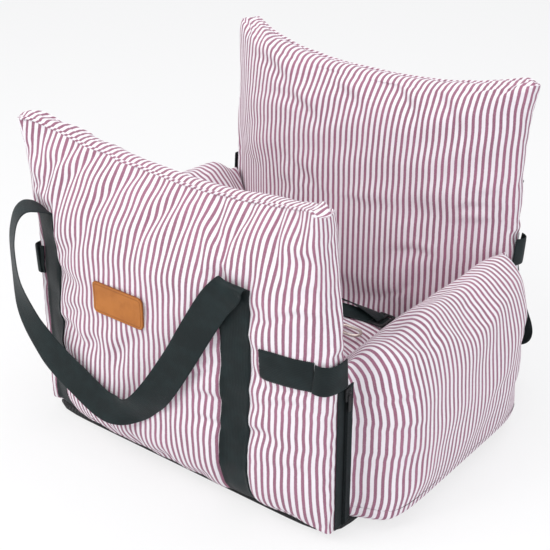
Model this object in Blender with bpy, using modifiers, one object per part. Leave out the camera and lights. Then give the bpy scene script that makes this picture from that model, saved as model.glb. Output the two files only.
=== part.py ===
"""A padded travel seat for a dog: two tall pillows, two side bolsters and a cushion on a flat base.

The two tall pillows fold outward about the seams at their feet, and so do the bolsters, once the
zips at the corners are open and the corner straps are peeled back. Metres, +Z up, front towards -Y.
The rear half is the front half turned half a turn about Z, with a taller pillow.
"""
from math import atan2, cos, pi, sin

import bmesh
import bpy
import numpy as np
from mathutils import Matrix, Vector

# Overall sizes
SHELL_WIDTH = 0.470
SHELL_DEPTH = 0.470
FRONT_WALL_HEIGHT = 0.424
REAR_WALL_HEIGHT = 0.462
BOLSTER_HEIGHT = 0.254
CABIN_WIDTH = 0.252

# Gaps that neighbouring pieces keep
CLEARANCE = 0.0004
PADDING_CLEARANCE = 0.0009
WALL_PADDING_CLEARANCE = 0.0013
STRAP_ROOM = 0.0032

# Tall pillows
WALL_THICKNESS = 0.100
WALL_EDGE_THICKNESS = 0.030
WALL_TOP_SAG = 0.030
WALL_SIDE_DRAW = 0.005
WALL_TOP_FLARE = 0.018
WALL_FOOT_TUCK = 0.25
WALL_FOLD_SETBACK = 0.022
TIGHT_CORNER_SETBACK = 0.045
LOOSE_CORNER_SETBACK = 0.055
COVER_THICKNESS = 0.0016

# Side bolsters
BOLSTER_BULGE = 0.046
BOLSTER_LEAN = 0.050
BOLSTER_FOOT_DRAW = 0.004
BOLSTER_FOOT_TUCK = 0.4
BOLSTER_TOP_DRAW = 0.030
BOLSTER_INNER_DRAW = 0.008
BOLSTER_CREST_DROP = 0.020
BOLSTER_END_DROP = 0.010
BOLSTER_FOLD_REACH = 0.005
BOLSTER_END_CROWDING = 1.75
BULGE_START = 0.016
BULGE_RUN = 0.050

# Fold seams and base
FOLD_HEIGHT = 0.008
BASE_THICKNESS = 0.012
BASE_SEAM_SETBACK = 0.004
BASE_CORNER_RADIUS = 0.050
BASE_COVER_THICKNESS = 0.0015
BOARD_CLEARANCE = 0.0006

# Seat cushion
CUSHION_EDGE_HEIGHT = 0.098
CUSHION_CROWN = 0.014
CUSHION_SIDE_DRAW = 0.006
CUSHION_CORNER_DRAW = 0.010

# Webbing of the handles and corner straps
WEBBING_WIDTH = 0.040
WEBBING_THICKNESS = 0.0016
HANDLE_LEFT = -0.203
HANDLE_RIGHT = 0.112
HANDLE_TOP = 0.304
HANDLE_FOOT = 0.034
HANDLE_DROP = 0.222
HANDLE_STANDOFF = 0.009
HANDLE_FULLNESS = 2.3
HANDLE_STATIONS = 25
HANDLE_PIN_RISE = 0.003
HANDLE_SINK = 0.0009

# Corner straps
STRAP_BOTTOM = 0.2035
STRAP_WIDTH = 0.038
STRAP_SKIN_THICKNESS = 0.0018
PATCH_START = 0.150
PATCH_LENGTH = 0.066
FLAP_GAP = 0.0004
TIGHT_FLAP_BULGE = 0.010
LOOSE_FLAP_BULGE = 0.006
LOOSE_PATCH_START = 0.2255
LOOSE_PATCH_LENGTH = 0.0055
TIGHT_PATCH_SINK = 0.0015
LOOSE_PATCH_SINK = 0.0055

# Zips
ZIP_TAPE_WIDTH = 0.015
ZIP_TAPE_THICKNESS = 0.0011
ZIP_COIL_WIDTH = 0.0026
ZIP_COIL_THICKNESS = 0.0022
ZIP_FOOT = 0.0135
ZIP_TOP = 0.2015
SLIDER_WIDTH = 0.0105
SLIDER_LENGTH = 0.0150
SLIDER_THICKNESS = 0.0026
LUG_RADIUS = 0.0013
LUG_LENGTH = 0.0050
TAB_WIDTH = 0.0056
TAB_LENGTH = 0.0220
TAB_THICKNESS = 0.0012

# Leather tag
TAG_WIDTH = 0.082
TAG_HEIGHT = 0.042
TAG_THICKNESS = 0.0022
TAG_CENTRE_X = -0.063
TAG_CENTRE_Z = 0.226
TAG_RADIUS = 0.007
TAG_SINK = 0.0007

# Safety tether on the cushion
TETHER_WIDTH = 0.025
TETHER_THICKNESS = 0.0015
TETHER_REAR_SETBACK = 0.0362
TETHER_TURN_RADIUS = 0.031
TETHER_TURN_X = -0.022
TETHER_LAY = 0.0001
TETHER_END_X = 0.0440
SLIDER_BAR_SETBACK = 0.0288
BUCKLE_LENGTH = 0.024
BUCKLE_WIDTH = 0.033
BUCKLE_THICKNESS = 0.0026
BUCKLE_BAR = 0.0035
ANCHOR_FOOT = 0.030

# Snap hook
HOOK_WIRE_RADIUS = 0.0021
HOOK_LENGTH = 0.044
HOOK_HALF_WIDTH = 0.0090
HOOK_NOSE_LENGTH = 0.010
BARREL_RADIUS = 0.0045
BARREL_LENGTH = 0.011
SWIVEL_RING_LENGTH = 0.009
SWIVEL_RING_WIDTH = 0.030
SWIVEL_WIRE_RADIUS = 0.0016
SWIVEL_PIN_RADIUS = 0.0020
HOOK_RISE = 0.0068
GATE_RADIUS = 0.0017
TIP_BACKSET = 0.009

# Facets
RING_SIDES = 12
ARC_STEPS = 6
CUT_OVERRUN = 0.004

FOLD_Y = SHELL_DEPTH / 2 - WALL_FOLD_SETBACK
FOLD_X = SHELL_WIDTH / 2 + BOLSTER_FOLD_REACH
CABIN_DEPTH = SHELL_DEPTH - 2 * WALL_THICKNESS
TIGHT_SEAM_Y = SHELL_DEPTH / 2 - TIGHT_CORNER_SETBACK
LOOSE_SEAM_Y = SHELL_DEPTH / 2 - LOOSE_CORNER_SETBACK
SEAM_X = SHELL_WIDTH / 2
PAD_FOOT = BASE_THICKNESS + CLEARANCE
EDGE_HALF = WALL_EDGE_THICKNESS / 2
WALL_MIDDLE = (SHELL_DEPTH - WALL_THICKNESS) / 2
CUSHION_HALF_WIDTH = CABIN_WIDTH / 2 - STRAP_ROOM
CUSHION_HALF_DEPTH = CABIN_DEPTH / 2 - CLEARANCE * 2
TETHER_REAR_Y = CUSHION_HALF_DEPTH - TETHER_REAR_SETBACK
TETHER_FRONT_Y = TETHER_REAR_Y - 2 * TETHER_TURN_RADIUS
SLIDER_BAR_X = CUSHION_HALF_WIDTH - SLIDER_BAR_SETBACK


def clear_scene():
    """Remove what the start-up scene holds."""
    for found in list(bpy.data.objects):
        bpy.data.objects.remove(found, do_unlink=True)


def new_collection(name):
    """A collection linked to the scene."""
    made = bpy.data.collections.new(name)
    bpy.context.scene.collection.children.link(made)
    return made


def finish(name, colour, roughness, metallic=0.0):
    """A Principled material with one colour."""
    made = bpy.data.materials.new(name)
    made.use_nodes = True
    shader = made.node_tree.nodes["Principled BSDF"]
    shader.inputs["Base Color"].default_value = (*colour, 1.0)
    shader.inputs["Roughness"].default_value = roughness
    shader.inputs["Metallic"].default_value = metallic
    return made


clear_scene()
SEAT = new_collection("dog_car_seat")
CUTTERS = new_collection("cutters")

TICKING = finish("striped_ticking", (0.80, 0.62, 0.68), 0.9)
PADDING = finish("polyester_padding", (0.90, 0.90, 0.88), 1.0)
WEBBING = finish("black_webbing", (0.014, 0.022, 0.024), 0.6)
NON_SLIP = finish("non_slip_cloth", (0.010, 0.012, 0.012), 0.8)
BOARD = finish("base_board", (0.35, 0.35, 0.33), 0.7)
ZIP_TAPE = finish("zip_tape", (0.012, 0.016, 0.017), 0.7)
ZIP_METAL = finish("zip_metal", (0.020, 0.022, 0.024), 0.4, 0.6)
LEATHER = finish("tan_leather", (0.40, 0.18, 0.05), 0.5)
NICKEL = finish("warm_nickel", (0.55, 0.48, 0.42), 0.3, 1.0)
BLACK_PLASTIC = finish("black_plastic", (0.012, 0.013, 0.014), 0.4)


def smooth_step(share):
    """An even rise from 0 to 1."""
    held = max(0.0, min(1.0, share))
    return held * held * (3 - 2 * held)


def spread(share):
    """Moves evenly spaced shares from -1 to 1 closer together towards the ends."""
    return share * (5 - share * share) / 4


def crowded(share):
    """Moves evenly spaced shares from -1 to 1 towards a bolster's ends, where its zips need room."""
    if share < 0:
        return (1 + share) ** BOLSTER_END_CROWDING - 1
    return 1 - (1 - share) ** BOLSTER_END_CROWDING


def add_piece(name, mesh, coat, parent):
    """A named piece under its parent empty, with its material."""
    mesh.materials.clear()
    mesh.materials.append(coat)
    piece = bpy.data.objects.new(name, mesh)
    SEAT.objects.link(piece)
    piece.parent = parent
    return piece


def add_axis(name, place, turn=0.0, parent=None):
    """An empty on a joint's axis, or at the frame that pieces are placed in."""
    empty = bpy.data.objects.new(name, None)
    SEAT.objects.link(empty)
    empty.location = place
    empty.rotation_euler = (0.0, 0.0, turn)
    empty.parent = parent
    return empty


def thicken(piece, thickness, side):
    """Give an open surface its thickness."""
    solid = piece.modifiers.new("thickness", "SOLIDIFY")
    solid.thickness = thickness
    solid.offset = side
    solid.use_even_offset = False
    return solid


def pillow(name, cells, shape, coat, parent, seam, open_foot=False):
    """A soft body from a coarse cage: a unit cube cut into cells, shaped by a function.

    The seam function says how firmly an edge of the cage is drawn tight, from its two ends.
    """
    cage = bmesh.new()
    bmesh.ops.create_cube(cage, size=2)
    for axis, count in enumerate(cells):
        along = [edge for edge in cage.edges
                 if abs((edge.verts[0].co - edge.verts[1].co).normalized()[axis]) > 0.9]
        bmesh.ops.subdivide_edges(cage, edges=along, cuts=count - 1, use_grid_fill=True)
    if open_foot:
        foot = [face for face in cage.faces if face.normal.z < -0.9]
        bmesh.ops.delete(cage, geom=foot, context="FACES")
    tight = cage.edges.layers.float.new("crease_edge")
    for edge in cage.edges:
        edge[tight] = seam(edge.verts[0].co, edge.verts[1].co)
    for vert in cage.verts:
        vert.co = shape(*vert.co)
    mesh = bpy.data.meshes.new(name)
    cage.to_mesh(mesh)
    cage.free()
    mesh.shade_smooth()
    piece = add_piece(name, mesh, coat, parent)
    rounding = piece.modifiers.new("rounding", "SUBSURF")
    rounding.levels = 1
    rounding.render_levels = 1
    if open_foot:
        thicken(piece, COVER_THICKNESS, -1)
    return piece


def ribbon(name, edges, thickness, outward, coat, parent):
    """A flat strip between two edge lines, thickened away from what it lies on."""
    first, second = edges
    last = len(first) - 1
    cage = bmesh.new()
    bmesh.ops.create_grid(cage, x_segments=last, y_segments=1, size=1)
    for vert in cage.verts:
        station = round((vert.co.x + 1) / 2 * last)
        vert.co = first[station] if vert.co.y < 0 else second[station]
    bmesh.ops.recalc_face_normals(cage, faces=cage.faces)
    facing = sum((face.normal * face.calc_area() for face in cage.faces), Vector())
    if facing.dot(outward) < 0:
        bmesh.ops.reverse_faces(cage, faces=cage.faces)
    mesh = bpy.data.meshes.new(name)
    cage.to_mesh(mesh)
    cage.free()
    piece = add_piece(name, mesh, coat, parent)
    thicken(piece, thickness, 1)
    return piece


def plate(name, outlines, depth, coat, parent, place, turn=(0.0, 0.0, 0.0)):
    """A flat outline, with any holes in it, extruded about its own plane."""
    curve = bpy.data.curves.new(name, "CURVE")
    curve.dimensions = "2D"
    curve.fill_mode = "BOTH"
    curve.extrude = depth / 2
    for outline in outlines:
        spline = curve.splines.new("POLY")
        spline.points.add(len(outline) - 1)
        for point, (across, up) in zip(spline.points, outline):
            point.co = (across, up, 0.0, 1.0)
        spline.use_cyclic_u = True
    curve.materials.append(coat)
    piece = bpy.data.objects.new(name, curve)
    SEAT.objects.link(piece)
    piece.parent = parent
    piece.location = place
    piece.rotation_euler = turn
    return piece


def rounded_outline(width, height, radius):
    """The corners of a rectangle with round corners, about its middle."""
    points = []
    for quarter, (side, rise) in enumerate([(1, 1), (-1, 1), (-1, -1), (1, -1)]):
        for step in range(ARC_STEPS + 1):
            angle = (quarter + step / ARC_STEPS) * pi / 2
            across = side * (width / 2 - radius) + radius * cos(angle)
            up = rise * (height / 2 - radius) + radius * sin(angle)
            points.append((across, up))
    return points


def joined(target, tool):
    """Fuse a tool object into a target with an exact union."""
    CUTTERS.objects.link(tool)
    SEAT.objects.unlink(tool)
    tool.hide_render = True
    tool.display_type = "WIRE"
    union = target.modifiers.new("join", "BOOLEAN")
    union.operation = "UNION"
    union.object = tool


def rod(name, start, end, radius, coat, parent):
    """A round bar between two points, closed at both ends."""
    cage = bmesh.new()
    reach = Vector(end) - Vector(start)
    bmesh.ops.create_cone(cage, cap_ends=True, segments=RING_SIDES, radius1=radius, radius2=radius,
                          depth=reach.length)
    turned = reach.to_track_quat("Z", "Y").to_matrix().to_4x4()
    bmesh.ops.transform(cage, matrix=turned, verts=cage.verts)
    bmesh.ops.translate(cage, vec=(Vector(start) + Vector(end)) / 2, verts=cage.verts)
    mesh = bpy.data.meshes.new(name)
    cage.to_mesh(mesh)
    cage.free()
    return add_piece(name, mesh, coat, parent)


def wire(name, points, radius, coat, parent, closed=False):
    """A round wire along a line of points, as a closed mesh."""
    curve = bpy.data.curves.new(name, "CURVE")
    curve.dimensions = "3D"
    curve.bevel_depth = radius
    curve.bevel_resolution = 2
    curve.use_fill_caps = True
    spline = curve.splines.new("POLY")
    spline.points.add(len(points) - 1)
    for point, place in zip(spline.points, points):
        point.co = (*place, 1.0)
    spline.use_cyclic_u = closed
    holder = bpy.data.objects.new(name + "_path", curve)
    SEAT.objects.link(holder)
    graph = bpy.context.evaluated_depsgraph_get()
    mesh = bpy.data.meshes.new_from_object(holder.evaluated_get(graph))
    bpy.data.objects.remove(holder, do_unlink=True)
    welded = bmesh.new()
    welded.from_mesh(mesh)
    bmesh.ops.remove_doubles(welded, verts=welded.verts, dist=radius / RING_SIDES)
    welded.to_mesh(mesh)
    welded.free()
    return add_piece(name, mesh, coat, parent)


def box(name, size, place, coat, parent):
    """A block about its own middle."""
    cage = bmesh.new()
    bmesh.ops.create_cube(cage, size=1)
    bmesh.ops.scale(cage, vec=size, verts=cage.verts)
    bmesh.ops.translate(cage, vec=place, verts=cage.verts)
    mesh = bpy.data.meshes.new(name)
    cage.to_mesh(mesh)
    cage.free()
    return add_piece(name, mesh, coat, parent)


def seam_line(x, seam_y):
    """How far from the seat's middle the slanting face between a wall and a bolster lies at x."""
    share = (abs(x) - CABIN_WIDTH / 2) / (SEAM_X - CABIN_WIDTH / 2)
    return CABIN_DEPTH / 2 + share * (seam_y - CABIN_DEPTH / 2)


def wall_half_width(z, height):
    """Half the width of a tall pillow: full at the zips, drawn in above them, widest at the top."""
    above = max(0.0, min(1.0, (z - BOLSTER_HEIGHT) / (height - BOLSTER_HEIGHT)))
    return SEAM_X - CLEARANCE * 2 - WALL_SIDE_DRAW * sin(pi * above) + WALL_TOP_FLARE * above ** 3


def wall_shares(x, z, height):
    """A place on a tall pillow as shares of its half width and height, from -1 to 1."""
    across = max(-1.0, min(1.0, x / wall_half_width(z, height)))
    top = height - WALL_TOP_SAG * (1 - across * across)
    up = 2 * (z - PAD_FOOT) / (top - PAD_FOOT) - 1
    return across, max(-1.0, min(1.0, up))


def wall_middle(across):
    """Distance of a tall pillow's middle surface in front of the seat's centre."""
    end = (TIGHT_SEAM_Y if across > 0 else LOOSE_SEAM_Y) + CLEARANCE + EDGE_HALF
    return WALL_MIDDLE + across ** 4 * (end - WALL_MIDDLE)


def wall_half(across, up):
    """Half the thickness of a tall pillow: full in the middle, thin at its top and sides, blunt below."""
    tuck = WALL_FOOT_TUCK if up < 0 else 1
    crown = (1 - across ** 4) * (1 - tuck * up ** 4)
    return EDGE_HALF + crown * (WALL_THICKNESS / 2 - EDGE_HALF)


def wall_face(x, z, height):
    """Depth coordinate of a tall pillow's outer face."""
    across, up = wall_shares(x, z, height)
    return -(wall_middle(across) + wall_half(across, up))


def wall_shape(height, inset):
    """The function that shapes a tall pillow's cage, in the frame of its fold seam."""
    def shaped(across, side, up):
        across, up = spread(across), spread(up)
        rise = (up + 1) / 2
        top = height - WALL_TOP_SAG * (1 - across * across) - inset
        z = PAD_FOOT + inset + rise * (top - PAD_FOOT - inset)
        x = across * (wall_half_width(z, height) - inset)
        y = -wall_middle(across) + side * (wall_half(across, up) - inset)
        seam_y = TIGHT_SEAM_Y if across > 0 else LOOSE_SEAM_Y
        y = min(y, -seam_line(x, seam_y) - CLEARANCE - inset, -CABIN_DEPTH / 2 - CLEARANCE - inset)
        return Vector((x, y + FOLD_Y, z - FOLD_HEIGHT))
    return shaped


def bolster_shape(inset):
    """The function that shapes a bolster's cage, in the frame of its fold seam."""
    def shaped(side, along, up):
        along, up = crowded(along), spread(up)
        rise = (up + 1) / 2
        low = max(0.0, -up) ** 2
        high = max(0.0, up) ** 4
        inner = CABIN_WIDTH / 2 + CLEARANCE + BOLSTER_INNER_DRAW * max(low, high) + inset
        outer = SEAM_X - CLEARANCE * 2 - inset
        outer -= BOLSTER_FOOT_DRAW * max(0.0, -up) ** 3 + BOLSTER_TOP_DRAW * high
        x = (inner + outer) / 2 + side * (outer - inner) / 2
        front = -seam_line(x, TIGHT_SEAM_Y) + CLEARANCE + inset
        rear = seam_line(x, LOOSE_SEAM_Y) - CLEARANCE - inset
        y = (front + rear) / 2 + along * (rear - front) / 2
        reach = min(y - front, rear - y)
        swell = smooth_step((reach - BULGE_START) / BULGE_RUN)
        if side > 0:
            x += BOLSTER_BULGE * swell * (1 - BOLSTER_FOOT_TUCK * low - high)
        x += BOLSTER_LEAN * swell * max(0.0, up) ** 2
        crest = BOLSTER_CREST_DROP * side * side + BOLSTER_END_DROP * (1 - swell)
        top = BOLSTER_HEIGHT - inset - crest
        z = PAD_FOOT + inset + rise * (top - PAD_FOOT - inset)
        return Vector((x - FOLD_X, y, z - FOLD_HEIGHT))
    return shaped


def cushion_top(x, y):
    """Height of the seat cushion's crowned top."""
    across = min(1.0, abs(x) / CUSHION_HALF_WIDTH)
    along = min(1.0, abs(y) / CUSHION_HALF_DEPTH)
    return CUSHION_EDGE_HEIGHT + CUSHION_CROWN * (1 - across ** 4) * (1 - along ** 4)


def cushion_shape(inset):
    """The function that shapes the seat cushion's cage."""
    def shaped(across, along, up):
        across, along = spread(across), spread(along)
        middle = 1 - up * up
        pull_x = CUSHION_SIDE_DRAW * (1 - middle) + CUSHION_CORNER_DRAW * along ** 8
        pull_y = CUSHION_SIDE_DRAW * (1 - middle) + CUSHION_CORNER_DRAW * across ** 8
        x = across * (CUSHION_HALF_WIDTH - inset - pull_x)
        y = along * (CUSHION_HALF_DEPTH - inset - pull_y)
        rise = (up + 1) / 2
        z = PAD_FOOT + inset + rise * (cushion_top(x, y) - PAD_FOOT - 2 * inset)
        return Vector((x, y, z))
    return shaped


def no_seam(first, second):
    """A soft edge everywhere."""
    return 0.0


def wall_seam(first, second):
    """Tall pillows keep crisp upright edges beside their zips, below the corner straps."""
    upright = abs(first.x) == 1 and first.x == second.x and first.y == second.y
    return 1.0 if upright and max(first.z, second.z) < 0 else 0.0


def bolster_seam(first, second):
    """Bolsters keep crisp upright edges on both sides of their zips, on their outer sides."""
    upright = abs(first.y) > 0.7 and first.y == second.y and first.x == second.x == 1
    return 1.0 if upright and max(first.z, second.z) < 1 else 0.0


def padded_pair(name, cells, shape, room, seams, parent):
    """A cover with an opening in its foot, and the padding inside it, with a seam function for each."""
    cover_seam, padding_seam = seams
    pillow(name + "_cover", cells, shape(0.0), TICKING, parent, cover_seam, open_foot=True)
    pillow(name + "_padding", cells, shape(COVER_THICKNESS + room), PADDING, parent, padding_seam)


def base():
    """The flat base: a non-slip cover, open along its rear seam, around a stiff board."""
    half_width = FOLD_X - BASE_SEAM_SETBACK
    half_depth = FOLD_Y - BASE_SEAM_SETBACK
    outline = rounded_outline(2 * half_width, 2 * half_depth, BASE_CORNER_RADIUS)
    cover = plate("base_cover", [outline], BASE_THICKNESS, NON_SLIP, None,
                  (0.0, 0.0, BASE_THICKNESS / 2))
    graph = bpy.context.evaluated_depsgraph_get()
    mesh = bpy.data.meshes.new_from_object(cover.evaluated_get(graph))
    bpy.data.objects.remove(cover, do_unlink=True)
    welded = bmesh.new()
    welded.from_mesh(mesh)
    bmesh.ops.remove_doubles(welded, verts=welded.verts, dist=CLEARANCE / 4)
    bmesh.ops.translate(welded, vec=(0.0, 0.0, BASE_THICKNESS / 2), verts=welded.verts)
    welded.to_mesh(mesh)
    welded.free()
    shell = add_piece("base_cover", mesh, NON_SLIP, None)
    pocket = BASE_THICKNESS - 2 * BASE_COVER_THICKNESS
    skin = BASE_COVER_THICKNESS
    reach = half_depth - BASE_CORNER_RADIUS
    hollow = box("base_pocket", (2 * (half_width - skin), 2 * reach + CUT_OVERRUN, pocket),
                 (0.0, CUT_OVERRUN / 2, BASE_THICKNESS / 2), NON_SLIP, None)
    mouth = box("base_mouth", (2 * (half_width - BASE_CORNER_RADIUS), half_depth, pocket),
                (0.0, half_depth / 2 + CUT_OVERRUN, BASE_THICKNESS / 2), NON_SLIP, None)
    for cutter in (hollow, mouth):
        CUTTERS.objects.link(cutter)
        SEAT.objects.unlink(cutter)
        cutter.hide_render = True
        cutter.display_type = "WIRE"
        cut = shell.modifiers.new("pocket", "BOOLEAN")
        cut.operation = "DIFFERENCE"
        cut.object = cutter
    thickness = pocket - 2 * BOARD_CLEARANCE
    box("base_board", (2 * (half_width - skin - BOARD_CLEARANCE), 2 * (reach - BOARD_CLEARANCE), thickness),
        (0.0, 0.0, BASE_THICKNESS / 2), BOARD, None)


def in_wall_frame(x, y, z):
    """A place in front of the seat's centre, in the frame of the wall's fold seam."""
    return Vector((x, y + FOLD_Y, z - FOLD_HEIGHT))


def handle_bed(x, z, height):
    """Depth coordinate of the line that a handle's webbing is sewn to on a tall pillow's outer face."""
    return wall_face(x, z, height) + HANDLE_SINK - CLEARANCE


def handle_strip(name, centre, height, parent):
    """One upright of a handle, sewn down a tall pillow's outer face to its foot."""
    edges = []
    shares = spread(np.linspace(-1.0, 1.0, HANDLE_STATIONS // 2))
    rows = HANDLE_FOOT + (shares + 1) / 2 * (HANDLE_TOP - HANDLE_FOOT)
    for x in (centre - WEBBING_WIDTH / 2, centre + WEBBING_WIDTH / 2):
        edges.append([in_wall_frame(x, handle_bed(x, z, height), z) for z in rows])
    ribbon(name, edges, WEBBING_THICKNESS, Vector((0.0, -1.0, 0.0)), WEBBING, parent)


def handle_ends(height):
    """The two places where a handle leaves its uprights, and between which it swings."""
    ends = []
    for x in (HANDLE_LEFT, HANDLE_RIGHT):
        y = handle_bed(x, HANDLE_TOP, height) - CLEARANCE - WEBBING_THICKNESS * 2
        ends.append(Vector((x, y, HANDLE_TOP + HANDLE_PIN_RISE)))
    return ends


def standoff_shares(angles):
    """How far a hanging handle stands off at each station, from 0 at its ends to 1."""
    return [smooth_step(4 * abs(sin(angle))) for angle in angles]


def handle_loop(name, height, parent):
    """A handle of webbing that hangs in front of its pillow in a deep bow."""
    share = np.linspace(0.0, 1.0, HANDLE_STATIONS) * pi
    middle = (HANDLE_LEFT + HANDLE_RIGHT) / 2
    half_span = (HANDLE_RIGHT - HANDLE_LEFT) / 2
    power = 2 / HANDLE_FULLNESS
    x = middle - half_span * np.sign(np.cos(share)) * np.abs(np.cos(share)) ** power
    z = HANDLE_TOP - HANDLE_DROP * np.abs(np.sin(share)) ** power
    run, fall = np.gradient(x), np.gradient(z)
    run[0] = run[-1] = 0.0
    length = np.hypot(run, fall)
    left, right = (in_wall_frame(*end) for end in handle_ends(height))
    turn = atan2(right.y - left.y, right.x - left.x)
    swing = add_axis(name + "_swing", (left + right) / 2, turn, parent)
    to_swing = Matrix.Rotation(-turn, 3, "Z")
    edges = []
    for side in (-1, 1):
        across = x + side * fall / length * WEBBING_WIDTH / 2
        up = z - side * run / length * WEBBING_WIDTH / 2
        line = []
        for a, u, share_off in zip(across, up, standoff_shares(share)):
            y = handle_bed(a, u, height) - WEBBING_THICKNESS - CLEARANCE - HANDLE_STANDOFF * share_off
            line.append(to_swing @ (in_wall_frame(a, y, u) - (left + right) / 2))
        edges.append(line)
    ribbon(name, edges, WEBBING_THICKNESS, Vector((0.0, -1.0, 0.0)), WEBBING, swing)


def outer_skin(x, side, height):
    """Seen from above, a place on a tall pillow's outer face beside its strap, and two directions there.

    The first direction runs along the face towards the pillow's end, the second out of the face.
    """
    z = STRAP_BOTTOM + STRAP_WIDTH / 2
    before_x = x - side * CLEARANCE
    place = Vector((x, wall_face(x, z, height)))
    along = (place - Vector((before_x, wall_face(before_x, z, height)))).normalized()
    return place, along, Vector((along.y, -along.x)) * side


def strap_patch(name, start, end, sink, height, parent):
    """The sewn part of a corner strap, flat on the tall pillow's outer face."""
    bottom, top = [], []
    side = 1 if end > start else -1
    for x in np.linspace(start, end, ARC_STEPS):
        place, along, out = outer_skin(x, side, height)
        place = place + out * (CLEARANCE - sink)
        bottom.append(in_wall_frame(place.x, place.y, STRAP_BOTTOM))
        top.append(in_wall_frame(place.x, place.y, STRAP_BOTTOM + STRAP_WIDTH))
    ribbon(name, (bottom, top), STRAP_SKIN_THICKNESS, Vector((side, -1.0, 0.0)), WEBBING, parent)


def strap_flap(name, side, patch_end, seam_y, fit, height, parent):
    """The free end of a corner strap, which bulges round the corner to the bolster's seam."""
    sink, swell = fit
    edge, along, out = outer_skin(patch_end, side, height)
    start = edge + along * FLAP_GAP + out * (CLEARANCE - sink + STRAP_SKIN_THICKNESS)
    end_y = seam_y + CLEARANCE * 3 + STRAP_SKIN_THICKNESS / 2
    end = Vector((side * (SEAM_X + CLEARANCE + ZIP_TAPE_THICKNESS), -end_y))
    chord = end - start
    bulge = Vector((chord.y, -chord.x)).normalized() * side
    bottom, top = [], []
    for step in range(ARC_STEPS + 1):
        share = step / ARC_STEPS
        place = chord * share + bulge * swell * sin(pi * share) - out * STRAP_SKIN_THICKNESS
        bottom.append(Vector((place.x, place.y, -STRAP_WIDTH / 2)))
        top.append(Vector((place.x, place.y, STRAP_WIDTH / 2)))
    middle_z = STRAP_BOTTOM + STRAP_WIDTH / 2
    hinge = add_axis(name + "_peel", in_wall_frame(start.x, start.y, middle_z), parent=parent)
    ribbon(name, (bottom, top), STRAP_SKIN_THICKNESS, Vector((side, -1.0, 0.0)), WEBBING, hinge)


def zip_tape(name, side, seam_y, turn, parent, place):
    """Half a zip: a tape with its coil along the edge that meets the other half."""
    outline = [(0.0, 0.0), (side * ZIP_COIL_THICKNESS, 0.0),
               (side * ZIP_COIL_THICKNESS, turn * ZIP_COIL_WIDTH),
               (side * ZIP_TAPE_THICKNESS, turn * ZIP_COIL_WIDTH),
               (side * ZIP_TAPE_THICKNESS, turn * ZIP_TAPE_WIDTH), (0.0, turn * ZIP_TAPE_WIDTH)]
    centre = Vector((side * SEAM_X, seam_y + turn * CLEARANCE, (ZIP_FOOT + ZIP_TOP) / 2))
    plate(name, [outline], ZIP_TOP - ZIP_FOOT, ZIP_TAPE, parent, centre - place)


def tag(height, parent):
    """A leather tag with round corners, on the front pillow between the handle's uprights."""
    face = wall_face(TAG_CENTRE_X, TAG_CENTRE_Z, height) + TAG_SINK - CLEARANCE - TAG_THICKNESS / 2
    plate("leather_tag", [rounded_outline(TAG_WIDTH, TAG_HEIGHT, TAG_RADIUS)], TAG_THICKNESS, LEATHER,
          parent, in_wall_frame(TAG_CENTRE_X, face, TAG_CENTRE_Z), (pi / 2, 0.0, 0.0))


def tall_wall(prefix, height, turn, corners):
    """A tall pillow with its handle, corner straps and zip halves, on its fold seam."""
    facing = -1 if turn == 0.0 else 1
    fold = add_axis(prefix + "_wall_fold", (0.0, facing * FOLD_Y, FOLD_HEIGHT), turn)
    padded_pair(prefix + "_wall", (6, 1, 5), lambda inset: wall_shape(height, inset),
                WALL_PADDING_CLEARANCE, (wall_seam, no_seam), fold)
    origin = Vector((0.0, -FOLD_Y, FOLD_HEIGHT))
    tight, loose = corners
    handle_strip(prefix + "_handle_upright_" + loose, HANDLE_LEFT, height, fold)
    handle_strip(prefix + "_handle_upright_" + tight, HANDLE_RIGHT, height, fold)
    handle_loop(prefix + "_handle", height, fold)
    patch_end = PATCH_START + PATCH_LENGTH
    strap_patch(f"{prefix}_{tight}_strap_patch", PATCH_START, patch_end, TIGHT_PATCH_SINK, height, fold)
    fit = (TIGHT_PATCH_SINK, TIGHT_FLAP_BULGE)
    strap_flap(f"{prefix}_{tight}_strap_flap", 1, patch_end, TIGHT_SEAM_Y, fit, height, fold)
    loose_end = LOOSE_PATCH_START + LOOSE_PATCH_LENGTH
    patch = f"{prefix}_{loose}_strap_patch"
    strap_patch(patch, -LOOSE_PATCH_START, -loose_end, LOOSE_PATCH_SINK, height, fold)
    fit = (LOOSE_PATCH_SINK, LOOSE_FLAP_BULGE)
    strap_flap(f"{prefix}_{loose}_strap_flap", -1, -loose_end, LOOSE_SEAM_Y, fit, height, fold)
    zip_tape(f"{prefix}_{tight}_wall_zip_tape", 1, -TIGHT_SEAM_Y, -1, fold, origin)
    zip_tape(f"{prefix}_{loose}_wall_zip_tape", -1, -LOOSE_SEAM_Y, -1, fold, origin)
    return fold


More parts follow.
